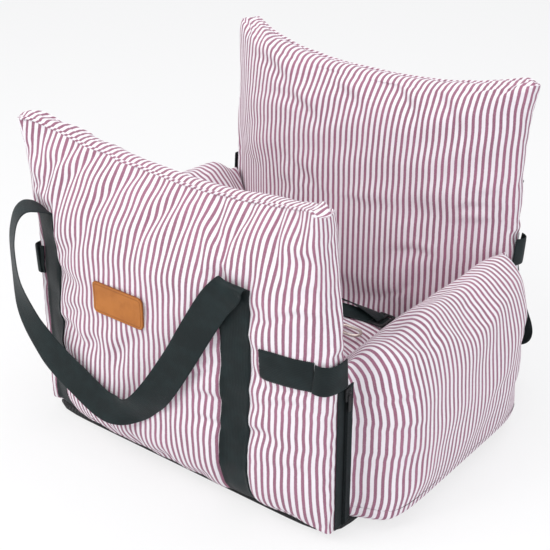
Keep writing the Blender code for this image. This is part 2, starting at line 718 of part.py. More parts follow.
def zip_slider(name, seam_y, parent):
    """A zip's slider with its lug, and the pull tab that hangs from it."""
    face = SEAM_X + ZIP_COIL_THICKNESS + CLEARANCE
    top = ZIP_TOP - CLEARANCE
    travel = add_axis(name + "_travel", (face - FOLD_X, seam_y, top - FOLD_HEIGHT), parent=parent)
    body = box(name, (SLIDER_THICKNESS, SLIDER_WIDTH, SLIDER_LENGTH),
               (SLIDER_THICKNESS / 2, 0.0, -SLIDER_LENGTH / 2), ZIP_METAL, travel)
    lug_x = SLIDER_THICKNESS + LUG_RADIUS / 2
    lug_z = -LUG_RADIUS * 3
    joined(body, rod(name + "_lug", (lug_x, -LUG_LENGTH / 2, lug_z), (lug_x, LUG_LENGTH / 2, lug_z),
                     LUG_RADIUS, ZIP_METAL, travel))
    pivot_x = SLIDER_THICKNESS + CLEARANCE + TAB_THICKNESS / 2
    pivot = add_axis(name + "_pull_pivot", (pivot_x, 0.0, lug_z), parent=travel)
    drop = LUG_RADIUS * 2 + TAB_LENGTH / 2
    plate(name + "_pull", [rounded_outline(TAB_WIDTH, TAB_LENGTH, TAB_WIDTH / 3)], TAB_THICKNESS,
          ZIP_METAL, pivot, (0.0, 0.0, -drop), (pi / 2, 0.0, pi / 2))


def bolster(prefix, turn, ends):
    """A side bolster with its zip halves and sliders, on its fold seam."""
    facing = 1 if turn == 0.0 else -1
    fold = add_axis(prefix + "_bolster_fold", (facing * FOLD_X, 0.0, FOLD_HEIGHT), turn)
    padded_pair(prefix + "_bolster", (2, 8, 4), bolster_shape, PADDING_CLEARANCE,
                (bolster_seam, bolster_seam), fold)
    origin = Vector((FOLD_X, 0.0, FOLD_HEIGHT))
    tight, loose = ends
    zip_tape(f"{tight}_{prefix}_bolster_zip_tape", 1, -TIGHT_SEAM_Y, 1, fold, origin)
    zip_tape(f"{loose}_{prefix}_bolster_zip_tape", 1, LOOSE_SEAM_Y, -1, fold, origin)
    zip_slider(f"{tight}_{prefix}_zip_slider", -TIGHT_SEAM_Y, fold)
    zip_slider(f"{loose}_{prefix}_zip_slider", LOOSE_SEAM_Y, fold)


def tether_line(x, y):
    """A place on top of the cushion where the tether lies."""
    return Vector((x, y, cushion_top(x, y) + TETHER_LAY))


def tether():
    """The tether: an anchor strap out of the seam beside the cushion, its slider and its webbing."""
    half = TETHER_WIDTH / 2
    side = CUSHION_HALF_WIDTH + (STRAP_ROOM - TETHER_THICKNESS) / 2
    rises = np.linspace(ANCHOR_FOOT, CUSHION_EDGE_HEIGHT - CUSHION_SIDE_DRAW, ARC_STEPS)
    radius = CUSHION_SIDE_DRAW
    edges = []
    for y in (TETHER_REAR_Y - half, TETHER_REAR_Y + half):
        line = [Vector((side, y, z)) for z in rises]
        start = Vector((side - radius, y, rises[-1]))
        rise = cushion_top(side - radius, y) + TETHER_LAY - rises[-1]
        for step in range(1, ARC_STEPS + 1):
            angle = pi / 2 * step / ARC_STEPS
            line.append(start + Vector((radius * cos(angle), 0.0, rise * sin(angle))))
        for x in np.linspace(side - 2 * radius, SLIDER_BAR_X + CLEARANCE / 2, ARC_STEPS // 2):
            line.append(tether_line(x, y))
        edges.append(line)
    ribbon("tether_anchor_strap", edges, TETHER_THICKNESS, Vector((1.0, 0.0, 1.0)), WEBBING, None)
    middle_y = (TETHER_REAR_Y + TETHER_FRONT_Y) / 2
    edges = []
    for offset in (-half, half):
        line = [tether_line(x, TETHER_REAR_Y + offset)
                for x in np.linspace(SLIDER_BAR_X - CLEARANCE / 2, TETHER_TURN_X, ARC_STEPS + 1)]
        for step in range(1, 2 * ARC_STEPS):
            angle = pi / 2 + pi * step / (2 * ARC_STEPS)
            reach = TETHER_TURN_RADIUS + offset
            line.append(tether_line(TETHER_TURN_X + reach * cos(angle), middle_y + reach * sin(angle)))
        for share in np.linspace(0.0, 1.0, ARC_STEPS):
            x = TETHER_TURN_X + share * (TETHER_END_X - TETHER_TURN_X)
            lift = (HOOK_RISE - TETHER_THICKNESS / 2) * smooth_step(4 * share - 3)
            line.append(tether_line(x, TETHER_FRONT_Y - offset) + Vector((0.0, 0.0, lift)))
        edges.append(line)
    ribbon("tether_webbing", edges, TETHER_THICKNESS, Vector((0.0, 0.0, 1.0)), WEBBING, None)
    highest = cushion_top(SLIDER_BAR_X - BUCKLE_LENGTH / 2, TETHER_REAR_Y - BUCKLE_WIDTH / 2)
    top = highest + TETHER_LAY + TETHER_THICKNESS + CLEARANCE
    frame = rounded_outline(BUCKLE_LENGTH, BUCKLE_WIDTH, BUCKLE_BAR / 2)
    slot = (BUCKLE_LENGTH - 3 * BUCKLE_BAR) / 2
    slots = []
    for end in (-1, 1):
        hole = rounded_outline(slot, BUCKLE_WIDTH - 2 * BUCKLE_BAR, BUCKLE_BAR / 4)
        slots.append([(across + end * (slot + BUCKLE_BAR) / 2, up) for across, up in hole])
    plate("tether_slider", [frame, *slots], BUCKLE_THICKNESS, BLACK_PLASTIC, None,
          (SLIDER_BAR_X, TETHER_REAR_Y, top + BUCKLE_THICKNESS / 2))


def snap_hook():
    """The snap hook at the tether's end: a swivel ring, the hook and its sprung gate."""
    height = cushion_top(TETHER_END_X, TETHER_FRONT_Y) + HOOK_RISE
    ring_x = TETHER_END_X + CLEARANCE + SWIVEL_WIRE_RADIUS
    root = add_axis("snap_hook_frame", (ring_x, TETHER_FRONT_Y, height))
    ring = [(across, up, 0.0) for across, up in
            rounded_outline(SWIVEL_RING_LENGTH, SWIVEL_RING_WIDTH, SWIVEL_RING_LENGTH / 3)]
    ring = [(x + SWIVEL_RING_LENGTH / 2, y, z) for x, y, z in ring]
    eye = wire("snap_hook_swivel_ring", ring, SWIVEL_WIRE_RADIUS, NICKEL, root, closed=True)
    barrel_x = SWIVEL_RING_LENGTH + SWIVEL_WIRE_RADIUS + CLEARANCE
    pin_end = barrel_x + BARREL_LENGTH / 2
    joined(eye, rod("snap_hook_pin", (SWIVEL_RING_LENGTH, 0.0, 0.0), (pin_end, 0.0, 0.0),
                    SWIVEL_PIN_RADIUS, NICKEL, root))
    swivel = add_axis("snap_hook_swivel", (barrel_x, 0.0, 0.0), parent=root)
    tip_x = HOOK_LENGTH - HOOK_NOSE_LENGTH - TIP_BACKSET
    spine = [(BARREL_LENGTH / 2, BARREL_RADIUS - HOOK_WIRE_RADIUS, 0.0), (BARREL_LENGTH, BARREL_RADIUS, 0.0),
             (BARREL_LENGTH + HOOK_WIRE_RADIUS * 2, HOOK_HALF_WIDTH, 0.0)]
    nose_x = HOOK_LENGTH - HOOK_NOSE_LENGTH
    for step in range(2 * ARC_STEPS + 1):
        angle = pi / 2 - pi * step / (2 * ARC_STEPS)
        spine.append((nose_x + HOOK_NOSE_LENGTH * cos(angle), HOOK_HALF_WIDTH * sin(angle), 0.0))
    spine.append((tip_x, -HOOK_HALF_WIDTH, 0.0))
    hook = wire("snap_hook_body", spine, HOOK_WIRE_RADIUS, NICKEL, swivel)
    barrel = rod("snap_hook_barrel", (0.0, 0.0, 0.0), (BARREL_LENGTH, 0.0, 0.0), BARREL_RADIUS, NICKEL, swivel)
    joined(hook, barrel)
    bore = rod("snap_hook_bore", (-CUT_OVERRUN, 0.0, 0.0), (BARREL_LENGTH / 2 + CLEARANCE * 2, 0.0, 0.0),
               SWIVEL_PIN_RADIUS + CLEARANCE, NICKEL, swivel)
    CUTTERS.objects.link(bore)
    SEAT.objects.unlink(bore)
    bore.hide_render = True
    bore.display_type = "WIRE"
    cut = hook.modifiers.new("bore", "BOOLEAN")
    cut.operation = "DIFFERENCE"
    cut.object = bore
    pivot_x = BARREL_LENGTH + GATE_RADIUS + CLEARANCE
    gate = add_axis("snap_hook_gate_pivot", (pivot_x, -HOOK_HALF_WIDTH, 0.0), parent=swivel)
    rod("snap_hook_gate", (0.0, 0.0, 0.0), (tip_x - pivot_x - CLEARANCE, 0.0, 0.0), GATE_RADIUS, NICKEL, gate)


base()
padded_pair("seat_cushion", (5, 5, 2), cushion_shape, PADDING_CLEARANCE, (no_seam, no_seam), None)
front = tall_wall("front", FRONT_WALL_HEIGHT, 0.0, ("right", "left"))
tag(FRONT_WALL_HEIGHT, front)
tall_wall("rear", REAR_WALL_HEIGHT, pi, ("left", "right"))
bolster("right", 0.0, ("front", "rear"))
bolster("left", pi, ("rear", "front"))
tether()
snap_hook()
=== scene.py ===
"""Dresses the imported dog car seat: sewn pillows of striped ticking, webbing, zips, leather and metal.

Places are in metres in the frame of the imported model: +Z up, the front towards -Y. The rear half of
the seat is the front half turned half a turn, so most sub-assemblies are worked out once, in a local
frame that faces the front, and then turned.
"""
from __future__ import annotations

import logging
import math
from dataclasses import dataclass, field
from enum import Enum

import bmesh
import bpy
import numpy as np
from mathutils import Matrix, Vector

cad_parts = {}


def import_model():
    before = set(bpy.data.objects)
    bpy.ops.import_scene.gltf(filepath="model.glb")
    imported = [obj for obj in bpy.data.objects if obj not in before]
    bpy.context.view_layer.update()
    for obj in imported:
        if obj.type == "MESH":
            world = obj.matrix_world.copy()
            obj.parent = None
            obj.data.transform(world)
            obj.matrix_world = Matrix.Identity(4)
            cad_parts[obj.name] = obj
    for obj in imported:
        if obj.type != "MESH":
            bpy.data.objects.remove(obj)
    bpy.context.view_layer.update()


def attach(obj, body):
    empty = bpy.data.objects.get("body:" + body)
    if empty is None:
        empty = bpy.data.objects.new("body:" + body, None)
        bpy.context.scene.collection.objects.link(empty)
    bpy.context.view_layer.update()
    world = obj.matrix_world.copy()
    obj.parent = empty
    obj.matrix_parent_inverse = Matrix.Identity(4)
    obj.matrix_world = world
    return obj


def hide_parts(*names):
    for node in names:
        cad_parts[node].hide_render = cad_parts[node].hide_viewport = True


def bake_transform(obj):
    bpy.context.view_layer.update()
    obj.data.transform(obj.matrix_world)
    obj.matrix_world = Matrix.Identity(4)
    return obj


LOG = logging.getLogger("seat")
Array = np.ndarray

# Shares that differ by less than this count as the same.
NEAR = 1e-9
# New points from one control point to the next, before they are spaced evenly.
CURVE_STEPS = 24
# Sizes of the first rows of a cover's grid, which close its end.
CLOSING = (0.0, 0.4, 0.8)
# Where a strip starts in front of the pillow before it is laid on it.
LAY_FROM_Y = -0.30


class Facing(Enum):
    """Which half of the seat a sub-assembly belongs to."""

    FRONT = "front"
    REAR = "rear"

    @property
    def sign(self) -> float:
        """1 at the front, -1 where the local frame is turned half a turn."""
        return 1.0 if self is Facing.FRONT else -1.0

    @property
    def sides(self) -> tuple[str, str]:
        """Names of the tight and the loose corner's sides."""
        return ("right", "left") if self is Facing.FRONT else ("left", "right")


class Coat(Enum):
    """The material slots."""

    TICKING = "ticking"
    WEBBING = "webbing"
    NON_SLIP = "non_slip_cloth"
    BOARD = "board"
    ZIP_TAPE = "zip_tape"
    ZIP_METAL = "zip_metal"
    LEATHER = "leather"
    NICKEL = "nickel"
    PLASTIC = "black_plastic"


def smooth(value: Array | float, low: float, high: float) -> Array:
    """An even rise from 0 at low to 1 at high: 3 s^2 - 2 s^3 of the share s.

    Args:
        value: where the rise is read.
        low: where it starts.
        high: where it ends.

    Returns:
        The rise, from 0 to 1.
    """
    share = np.clip((value - low) / (high - low), 0.0, 1.0)
    return share * share * (3 - 2 * share)


def unit(vectors: Array) -> Array:
    """Vectors of length 1, along the last axis."""
    return vectors / np.maximum(np.linalg.norm(vectors, axis=-1, keepdims=True), 1e-12)


def reach_along(points: Array) -> Array:
    """The length along a line of points up to each of them, from 0."""
    return np.concatenate([[0.0], np.cumsum(np.linalg.norm(np.diff(points, axis=0), axis=1))])


def resample(points: Array, spacing: float, least: int = 4) -> Array:
    """Points at an even spacing along a line of points, by linear steps of its length.

    Args:
        points: the line's points, one row each, of which the first three values are the place.
        spacing: the wanted distance between new points.
        least: the fewest new points.

    Returns:
        The new points.
    """
    reach = reach_along(points[:, :3])
    stations = np.linspace(0.0, reach[-1], max(least, int(round(reach[-1] / spacing)) + 1))
    return np.stack([np.interp(stations, reach, column) for column in points.T], axis=1)


def eased(points: Array, rounds: int) -> Array:
    """A line of points made smoother: each point moves to the mean of itself and its neighbours.

    Args:
        points: the line's points.
        rounds: how many times they are averaged.

    Returns:
        The smoother line, with its two ends where they were.
    """
    line = points.copy()
    for _ in range(rounds):
        line[1:-1] = (line[:-2] + 2 * line[1:-1] + line[2:]) / 4
    return line


def catmull_rom(knots: list[Array], steps: int) -> Array:
    """Catmull-Rom cubics from p1 to p2 of each four neighbouring control points.

    Args:
        knots: p0, p1, p2 and p3 of every stretch, each with a middle axis of length 1.
        steps: how many new points a stretch has.

    Returns:
        The points of all stretches, one row each.
    """
    p0, p1, p2, p3 = knots
    t = np.linspace(0.0, 1.0, steps, endpoint=False)[None, :, None]
    cubic = 0.5 * (2 * p1 + (p2 - p0) * t + (2 * p0 - 5 * p1 + 4 * p2 - p3) * t ** 2
                   + (3 * p1 - p0 - 3 * p2 + p3) * t ** 3)
    return cubic.reshape(-1, cubic.shape[-1])


def curve_through(points: Array, spacing: float) -> Array:
    """A smooth line through control points: a Catmull-Rom cubic, then an even spacing.

    Args:
        points: the control points, one row each, of any number of values.
        spacing: the wanted distance between new points, measured on the first three values.

    Returns:
        The line's points.
    """
    padded = np.concatenate([2 * points[:1] - points[1:2], points, 2 * points[-1:] - points[-2:-1]])
    knots = [padded[i:len(padded) - 3 + i, None] for i in range(4)]
    return resample(np.concatenate([catmull_rom(knots, CURVE_STEPS), points[-1:]]), spacing, least=6)


def closed_curve(points: Array, steps: int) -> Array:
    """A smooth closed line through control points, by the Catmull-Rom cubic taken round.

    Args:
        points: the control points, one row each.
        steps: how many new points follow each of them.

    Returns:
        The line's points, the first one again at the end.
    """
    line = catmull_rom([np.roll(points, shift, axis=0)[:, None] for shift in (1, 0, -1, -2)], steps)
    return np.concatenate([line, line[:1]])


def grid_mesh(name: str, points: Array, cloth: Array, marks: dict[str, Array] | None = None,
              closed: bool = True) -> bpy.types.Mesh:
    """A mesh of quads from a grid of places, with its flat cloth places as UV map.

    Args:
        name: the mesh's name.
        points: places, rows by columns by 3.
        cloth: flat places in metres, rows by columns by 2.
        marks: values per place that stay with the mesh as attributes.
        closed: whether doubled places are merged and the faces turned outwards.

    Returns:
        The mesh, with smooth faces.
    """
    rows, columns = points.shape[:2]
    corner = np.arange(rows - 1)[:, None] * columns + np.arange(columns - 1)[None, :]
    faces = np.stack([corner, corner + 1, corner + columns + 1, corner + columns], axis=-1).reshape(-1, 4)
    mesh = bpy.data.meshes.new(name)
    mesh.from_pydata(points.reshape(-1, 3).tolist(), [], faces.tolist())
    layer = mesh.uv_layers.new(name="cloth")
    layer.data.foreach_set("uv", cloth.reshape(-1, 2)[faces.ravel()].astype(np.float32).ravel())
    for mark, values in (marks or {}).items():
        attribute = mesh.attributes.new(mark, "FLOAT", "POINT")
        attribute.data.foreach_set("value", values.astype(np.float32).ravel())
    if closed:
        cage = bmesh.new()
        cage.from_mesh(mesh)
        bmesh.ops.remove_doubles(cage, verts=cage.verts, dist=2e-6)
        bmesh.ops.dissolve_degenerate(cage, edges=cage.edges, dist=1e-7)
        bmesh.ops.recalc_face_normals(cage, faces=cage.faces)
        cage.to_mesh(mesh)
        cage.free()
    mesh.shade_smooth()
    return mesh


def mesh_places(mesh: bpy.types.Mesh) -> Array:
    """A mesh's places, one row each."""
    flat = np.empty(len(mesh.vertices) * 3, np.float32)
    mesh.vertices.foreach_get("co", flat)
    return flat.reshape(-1, 3).astype(float)


def mark_values(mesh: bpy.types.Mesh, mark: str) -> Array:
    """One of a mesh's attributes, a value per place."""
    values = np.empty(len(mesh.vertices), np.float32)
    mesh.attributes[mark].data.foreach_get("value", values)
    return values.astype(float)


def add_object(name: str, mesh: bpy.types.Mesh) -> bpy.types.Object:
    """A new object at the origin that shows a mesh."""
    piece = bpy.data.objects.new(name, mesh)
    bpy.context.scene.collection.objects.link(piece)
    return piece


def baked(piece: bpy.types.Object) -> None:
    """Puts a piece's modifiers into its mesh."""
    bpy.context.view_layer.update()
    shown = piece.evaluated_get(bpy.context.evaluated_depsgraph_get())
    mesh = bpy.data.meshes.new_from_object(shown, preserve_all_data_layers=True,
                                           depsgraph=bpy.context.evaluated_depsgraph_get())
    piece.modifiers.clear()
    piece.data = mesh


def thickened(piece: bpy.types.Object, thickness: float) -> None:
    """Gives a thin strip its thickness, half of it on each side."""
    solid = piece.modifiers.new("thickness", "SOLIDIFY")
    solid.thickness, solid.offset = thickness, 0.0
    baked(piece)


def capped_rows(path: Array) -> tuple[Array, Array]:
    """The rows of a grid swept along a path, with both ends doubled.

    Args:
        path: places along the path.

    Returns:
        Each row's place on the path, and its size: 0 in the first and last row, which close it, and else 1.
    """
    rows = np.concatenate([[0], np.arange(len(path)), [len(path) - 1]])
    size = np.ones(len(rows))
    size[[0, -1]] = 0.0
    return rows, size


def band_grid(path: Array, widthways: Array, width: float, thickness: float,
              across: int = 10) -> tuple[Array, Array]:
    """A strap as a closed grid: a flat oval carried along a path, closed to a line at both ends.

    The oval is (W/2 c, T/2 s) with c and s the signed fourth and whole powers of a cosine and a sine,
    so the strap has thin rounded selvedges.

    Args:
        path: places along the strap's middle.
        widthways: a direction per place, across the strap.
        width: the strap's width.
        thickness: its thickness.
        across: columns on each of its two faces.

    Returns:
        The grid's places and its flat cloth places (across, along).
    """
    tangent = unit(np.gradient(path, axis=0))
    side = unit(widthways - tangent * np.sum(widthways * tangent, axis=1, keepdims=True))
    normal = np.cross(tangent, side)
    turn = np.linspace(0.0, 2 * np.pi, 2 * across + 1)
    c = np.sign(np.cos(turn)) * np.abs(np.cos(turn)) ** 0.55
    s = np.sign(np.sin(turn)) * np.abs(np.sin(turn)) ** 0.45
    c[-1], s[0], s[-1] = c[0], 0.0, 0.0
    rows, depth = capped_rows(path)
    places = (path[rows][:, None] + side[rows][:, None] * (width / 2 * c)[None, :, None]
              + normal[rows][:, None] * (thickness / 2 * s)[None, :, None] * depth[:, None, None])
    reach = reach_along(path)[rows]
    cloth = np.stack(np.broadcast_arrays((width / 2 * c)[None, :], reach[:, None]), axis=-1)
    return places, cloth


def tube_grid(path: Array, radius: float, sides: int = 8, twist: float = 0.0) -> tuple[Array, Array]:
    """A cord as a closed grid: a circle carried along a path, closed at both ends.

    Args:
        path: places along the cord's middle.
        radius: its radius.
        sides: columns around it.
        twist: how far along the cord its cloth runs on in one turn around it.

    Returns:
        The grid's places and its flat cloth places (along, around).
    """
    tangent = unit(np.gradient(path, axis=0))
    guide = np.array([0.31, 0.87, 0.38])
    side = unit(np.cross(tangent, guide))
    other = np.cross(tangent, side)
    turn = np.linspace(0.0, 2 * np.pi, sides + 1)
    rows, size = capped_rows(path)
    ring = (side[rows][:, None] * np.cos(turn)[None, :, None]
            + other[rows][:, None] * np.sin(turn)[None, :, None])
    ring[:, -1] = ring[:, 0]
    places = path[rows][:, None] + ring * (radius * size)[:, None, None]
    reach = reach_along(path)[rows]
    along = reach[:, None] + twist * turn[None, :] / (2 * np.pi)
    cloth = np.stack(np.broadcast_arrays(along, (radius * turn)[None, :]), axis=-1)
    return places, cloth


class Signal:
    """A socket that carries a number varying over a surface, with Python's operators on it."""

    def __init__(self, graph: Graph, socket: bpy.types.NodeSocket) -> None:
        """Args: graph, the node tree's builder; socket, the output that is wrapped."""
        self.graph = graph
        self.socket = socket

    def math(self, operation: str, *others: Signal | float, first: float | None = None) -> Signal:
        """One Math node on this signal.

        Args:
            operation: the Math node's operation.
            others: its further values.
            first: a plain number that comes before this signal.

        Returns:
            The node's result.
        """
        values = [first, self] if first is not None else [self, *others]
        return self.graph.node("ShaderNodeMath", {"operation": operation}, values)

    def __add__(self, other: Signal | float) -> Signal:
        """This signal plus another."""
        return self.math("ADD", other)

    __radd__ = __add__

    def __mul__(self, other: Signal | float) -> Signal:
        """This signal times another."""
        return self.math("MULTIPLY", other)

    __rmul__ = __mul__

    def __sub__(self, other: Signal | float) -> Signal:
        """This signal less another."""
        return self.math("SUBTRACT", other)

    def __rsub__(self, other: float) -> Signal:
        """A number less this signal."""
        return self.math("SUBTRACT", first=other)

    def __truediv__(self, other: Signal | float) -> Signal:
        """This signal over another."""
        return self.math("DIVIDE", other)

    def wave(self, pitch: float) -> Signal:
        """From -1 to 1 and back once in each pitch of this signal, as a sine."""
        return (self * (2 * math.pi / pitch)).math("SINE")

    def size(self) -> Signal:
        """This signal without its sign."""
        return self.math("ABSOLUTE")

    def band(self, low: float, high: float) -> Signal:
        """An even rise from 0 to 1 between two values of this signal."""
        return self.graph.node("ShaderNodeMapRange", {"interpolation_type": "SMOOTHSTEP"},
                               {"Value": self, "From Min": low, "From Max": high})


class Graph:
    """Builds one material's nodes."""

    def __init__(self, name: str) -> None:
        """Args: name, the material's name."""
        self.material = bpy.data.materials.new(name)
        self.material.use_nodes = True
        self.tree = self.material.node_tree
        self.shader = self.tree.nodes["Principled BSDF"]

    def link(self, value: Signal | float | tuple | bpy.types.NodeSocket,
             socket: bpy.types.NodeSocket) -> None:
        """Feeds a socket with a signal, or sets it to a plain value."""
        if isinstance(value, Signal):
            value = value.socket
        if isinstance(value, bpy.types.NodeSocket):
            self.tree.links.new(value, socket)
        else:
            socket.default_value = value

    def node(self, kind: str, settings: dict, values: dict | list, output: int | str = 0) -> Signal:
        """Any one node: its settings first, then its sockets.

        Args:
            kind: the node's type.
            settings: its properties, such as an operation, or a ramp's stops under "stops".
            values: values or links for its input sockets, by name or in order.
            output: which of its outputs is wanted.

        Returns:
            The output, wrapped.
        """
        made = self.tree.nodes.new(kind)
        for key, setting in settings.items():
            setattr(made, key, setting)
        pairs = values.items() if isinstance(values, dict) else enumerate(values)
        for key, value in pairs:
            self.link(value, made.inputs[key])
        return Signal(self, made.outputs[output])

    def blend(self, share: Signal | float, first: tuple | Signal, second: tuple | Signal) -> Signal:
        """A colour between two, by a share from 0 to 1."""
        made = self.tree.nodes.new("ShaderNodeMix")
        made.data_type = "RGBA"
        self.link(share, made.inputs[0])
        self.link(first, made.inputs[6])
        self.link(second, made.inputs[7])
        return Signal(self, made.outputs[2])

    def cloth(self) -> tuple[Signal, Signal]:
        """The flat cloth place, in metres, from the piece's UV map."""
        flat = self.node("ShaderNodeUVMap", {"uv_map": "cloth"}, {})
        first = self.node("ShaderNodeSeparateXYZ", {}, [flat])
        return first, Signal(self, first.socket.node.outputs[1])

    def place(self) -> Signal:
        """The place on the object, in metres."""
        return self.node("ShaderNodeTexCoord", {}, {}, "Object")

    def noise(self, where: Signal, scale: float, detail: float = 3.0) -> Signal:
        """Soft noise from 0 to 1; the scale is in turns per metre."""
        return self.node("ShaderNodeTexNoise", {}, {"Vector": where, "Scale": scale, "Detail": detail})

    def bump(self, height: Signal, depth: float, below: Signal | None = None) -> Signal:
        """A bumped normal, with the height's depth in metres."""
        values = {"Height": height, "Distance": depth}
        if below is not None:
            values["Normal"] = below
        return self.node("ShaderNodeBump", {}, values)

    def finish(self, colour: Signal | tuple, roughness: Signal | float, normal: Signal | None = None,
               **plain: float) -> bpy.types.Material:
        """Feeds the shader.

        Args:
            colour: the base colour.
            roughness: the roughness.
            normal: a bumped normal.
            plain: further sockets that are the same all over, with _ for each space.

        Returns:
            The material.
        """
        self.link(colour, self.shader.inputs["Base Color"])
        self.link(roughness, self.shader.inputs["Roughness"])
        if normal is not None:
            self.link(normal, self.shader.inputs["Normal"])
        for key, value in plain.items():
            self.shader.inputs[key.replace("_", " ")].default_value = value
        return self.material


def shaded(colour: tuple, share: float) -> tuple:
    """A colour times a share, as opaque as before."""
    return tuple(part * share for part in colour[:3]) + (1.0,)


@dataclass(frozen=True)
class Ticking:
    """Cotton ticking: narrow dyed stripes on white, a plain weave and a faint unevenness of the dye."""

    name: str = "striped_ticking"
    ground: tuple = (0.90, 0.86, 0.90, 1.0)
    dye: tuple = (0.285, 0.105, 0.170, 1.0)
    pitch: float = 0.0085
    dyed_share: float = 0.46
    edge: float = 0.00045
    yarn: float = 0.00055

    def build(self) -> bpy.types.Material:
        """The stripe is where |frac(u / pitch) - 1/2| is under half its share, with soft edges.

        Returns:
            The material.
        """
        g = Graph(self.name)
        u, v = g.cloth()
        place = g.place()
        wander = (g.noise(place, 420.0, 2.0) - 0.5) * 0.0005
        share = ((u + wander) / self.pitch).math("FRACT") - 0.5
        reach = share.size() * self.pitch
        half = self.pitch * self.dyed_share / 2
        stripe = 1 - reach.band(half - self.edge, half + self.edge)
        yarns = u.wave(self.yarn) * v.wave(self.yarn * 1.2)
        slub = g.noise(place, 1600.0, 2.0)
        uneven = g.noise(place, 26.0, 4.0)
        dye = g.blend(uneven.band(0.3, 0.75), self.dye, tuple(min(1.0, c * 1.22) for c in self.dye))
        ground = g.blend(uneven.band(0.35, 0.8), self.ground, tuple(c * 0.965 for c in self.ground))
        ends = stripe * (slub.band(0.15, 0.6) * 0.25 + 0.75)
        colour = g.blend(ends, ground, dye)
        normal = g.bump(yarns * 0.5 + slub * 0.5, 0.00012)
        return g.finish(colour, slub * 0.12 + 0.82, normal, Sheen_Weight=0.12, Specular_IOR_Level=0.25)


@dataclass(frozen=True)
class Webbing:
    """Ribbed black webbing with a soft green-blue sheen, partly painted into its colour as a lighter tone."""

    name: str = "black_webbing"
    colour: tuple = (0.0058, 0.0105, 0.0112, 1.0)
    painted_sheen: tuple = (0.0120, 0.0220, 0.0230, 1.0)
    rib: float = 0.0021
    pick: float = 0.0012
    gloss: float = 0.42

    def build(self) -> bpy.types.Material:
        """Ribs run along the strap, |sin(u / rib)|, crossed by fine picks, |sin(v / pick)|.

        Returns:
            The material.
        """
        g = Graph(self.name)
        u, v = g.cloth()
        place = g.place()
        ribs = u.wave(self.rib * 2).size()
        picks = (v + u.wave(self.rib * 2) * 0.0003).wave(self.pick * 2).size()
        wear_and_sheen = g.noise(place, 55.0, 5.0)
        fuzz = g.noise(place, 900.0, 2.0)
        # Painted sheen: the lighter colour is blended in over noise patches and along the rib crests; the
        # same noise also varies the roughness as wear.
        colour = g.blend(wear_and_sheen.band(0.35, 0.75) * 0.7 + ribs * 0.2, self.colour, self.painted_sheen)
        normal = g.bump(ribs * 0.6 + picks * 0.3 + fuzz * 0.2, 0.00022)
        return g.finish(colour, wear_and_sheen * 0.2 + self.gloss, normal,
                        Sheen_Weight=0.03, Specular_IOR_Level=0.16)


@dataclass(frozen=True)
class WovenTape:
    """Thin black zip tape in a fine herringbone."""

    name: str = "zip_tape"
    colour: tuple = (0.0075, 0.0115, 0.0125, 1.0)
    pitch: float = 0.0016

    def build(self) -> bpy.types.Material:
        """Herringbone: sin((v + |u|) / pitch) on the flat cloth place."""
        g = Graph(self.name)
        u, v = g.cloth()
        bones = (v + u.size()).wave(self.pitch)
        wear_and_sheen = g.noise(g.place(), 120.0, 3.0)
        colour = g.blend(wear_and_sheen.band(0.3, 0.8), self.colour, tuple(c * 1.7 for c in self.colour))
        return g.finish(colour, wear_and_sheen * 0.2 + 0.6, g.bump(bones, 0.00012),
                        Sheen_Weight=0.03, Specular_IOR_Level=0.15)


@dataclass(frozen=True)
class NonSlip:
    """Black non-slip cloth with small raised dots."""

    name: str = "non_slip_cloth"
    colour: tuple = (0.010, 0.011, 0.012, 1.0)
    pitch: float = 0.006

    def build(self) -> bpy.types.Material:
        """Dots where sin(x / pitch) sin(y / pitch) is near 1 or -1, over a fine weave."""
        g = Graph(self.name)
        place = g.place()
        x = g.node("ShaderNodeSeparateXYZ", {}, [place])
        y = Signal(g, x.socket.node.outputs[1])
        dots = (x.wave(self.pitch * 2) * y.wave(self.pitch * 2)).size().band(0.55, 0.85)
        weave = g.noise(place, 1200.0, 2.0)
        colour = g.blend(dots * 0.6, self.colour, (0.022, 0.023, 0.024, 1.0))
        return g.finish(colour, 0.82 - dots * 0.3, g.bump(dots + weave * 0.3, 0.0004))


@dataclass(frozen=True)
class Leather:
    """Tan leather with fine grain, darker where the rim is burnished and the border pressed."""

    name: str = "tan_leather"
    face: tuple = (0.47, 0.165, 0.030, 1.0)
    deep: tuple = (0.31, 0.095, 0.018, 1.0)

    def build(self) -> bpy.types.Material:
        """Grain from small cells and noise; the attribute "pressed" darkens border and rim."""
        g = Graph(self.name)
        place = g.place()
        cells = g.node("ShaderNodeTexVoronoi", {}, {"Vector": place, "Scale": 950.0})
        patches = g.noise(place, 60.0, 4.0)
        pressed = g.node("ShaderNodeAttribute", {"attribute_name": "pressed"}, {}, "Fac")
        base = g.blend(patches.band(0.3, 0.75) * 0.55, self.face, self.deep)
        colour = g.blend(pressed, base, shaded(self.deep, 0.62))
        grain = cells * 0.7 + g.noise(place, 2400.0, 2.0) * 0.3
        return g.finish(colour, patches * 0.15 + 0.42, g.bump(grain, 0.00015), Specular_IOR_Level=0.25)


@dataclass(frozen=True)
class Metal:
    """A cast metal with faint scuffs."""

    name: str = "warm_nickel"
    colour: tuple = (0.66, 0.58, 0.52, 1.0)
    metallic: float = 1.0
    roughness: float = 0.24

    def build(self) -> bpy.types.Material:
        """Noise moves the roughness and the colour a little."""
        g = Graph(self.name)
        place = g.place()
        scuffs = g.noise(place, 380.0, 5.0)
        colour = g.blend(scuffs.band(0.4, 0.8), self.colour, shaded(self.colour, 0.72))
        return g.finish(colour, scuffs * 0.22 + self.roughness, g.bump(scuffs, 0.00005),
                        Metallic=self.metallic)


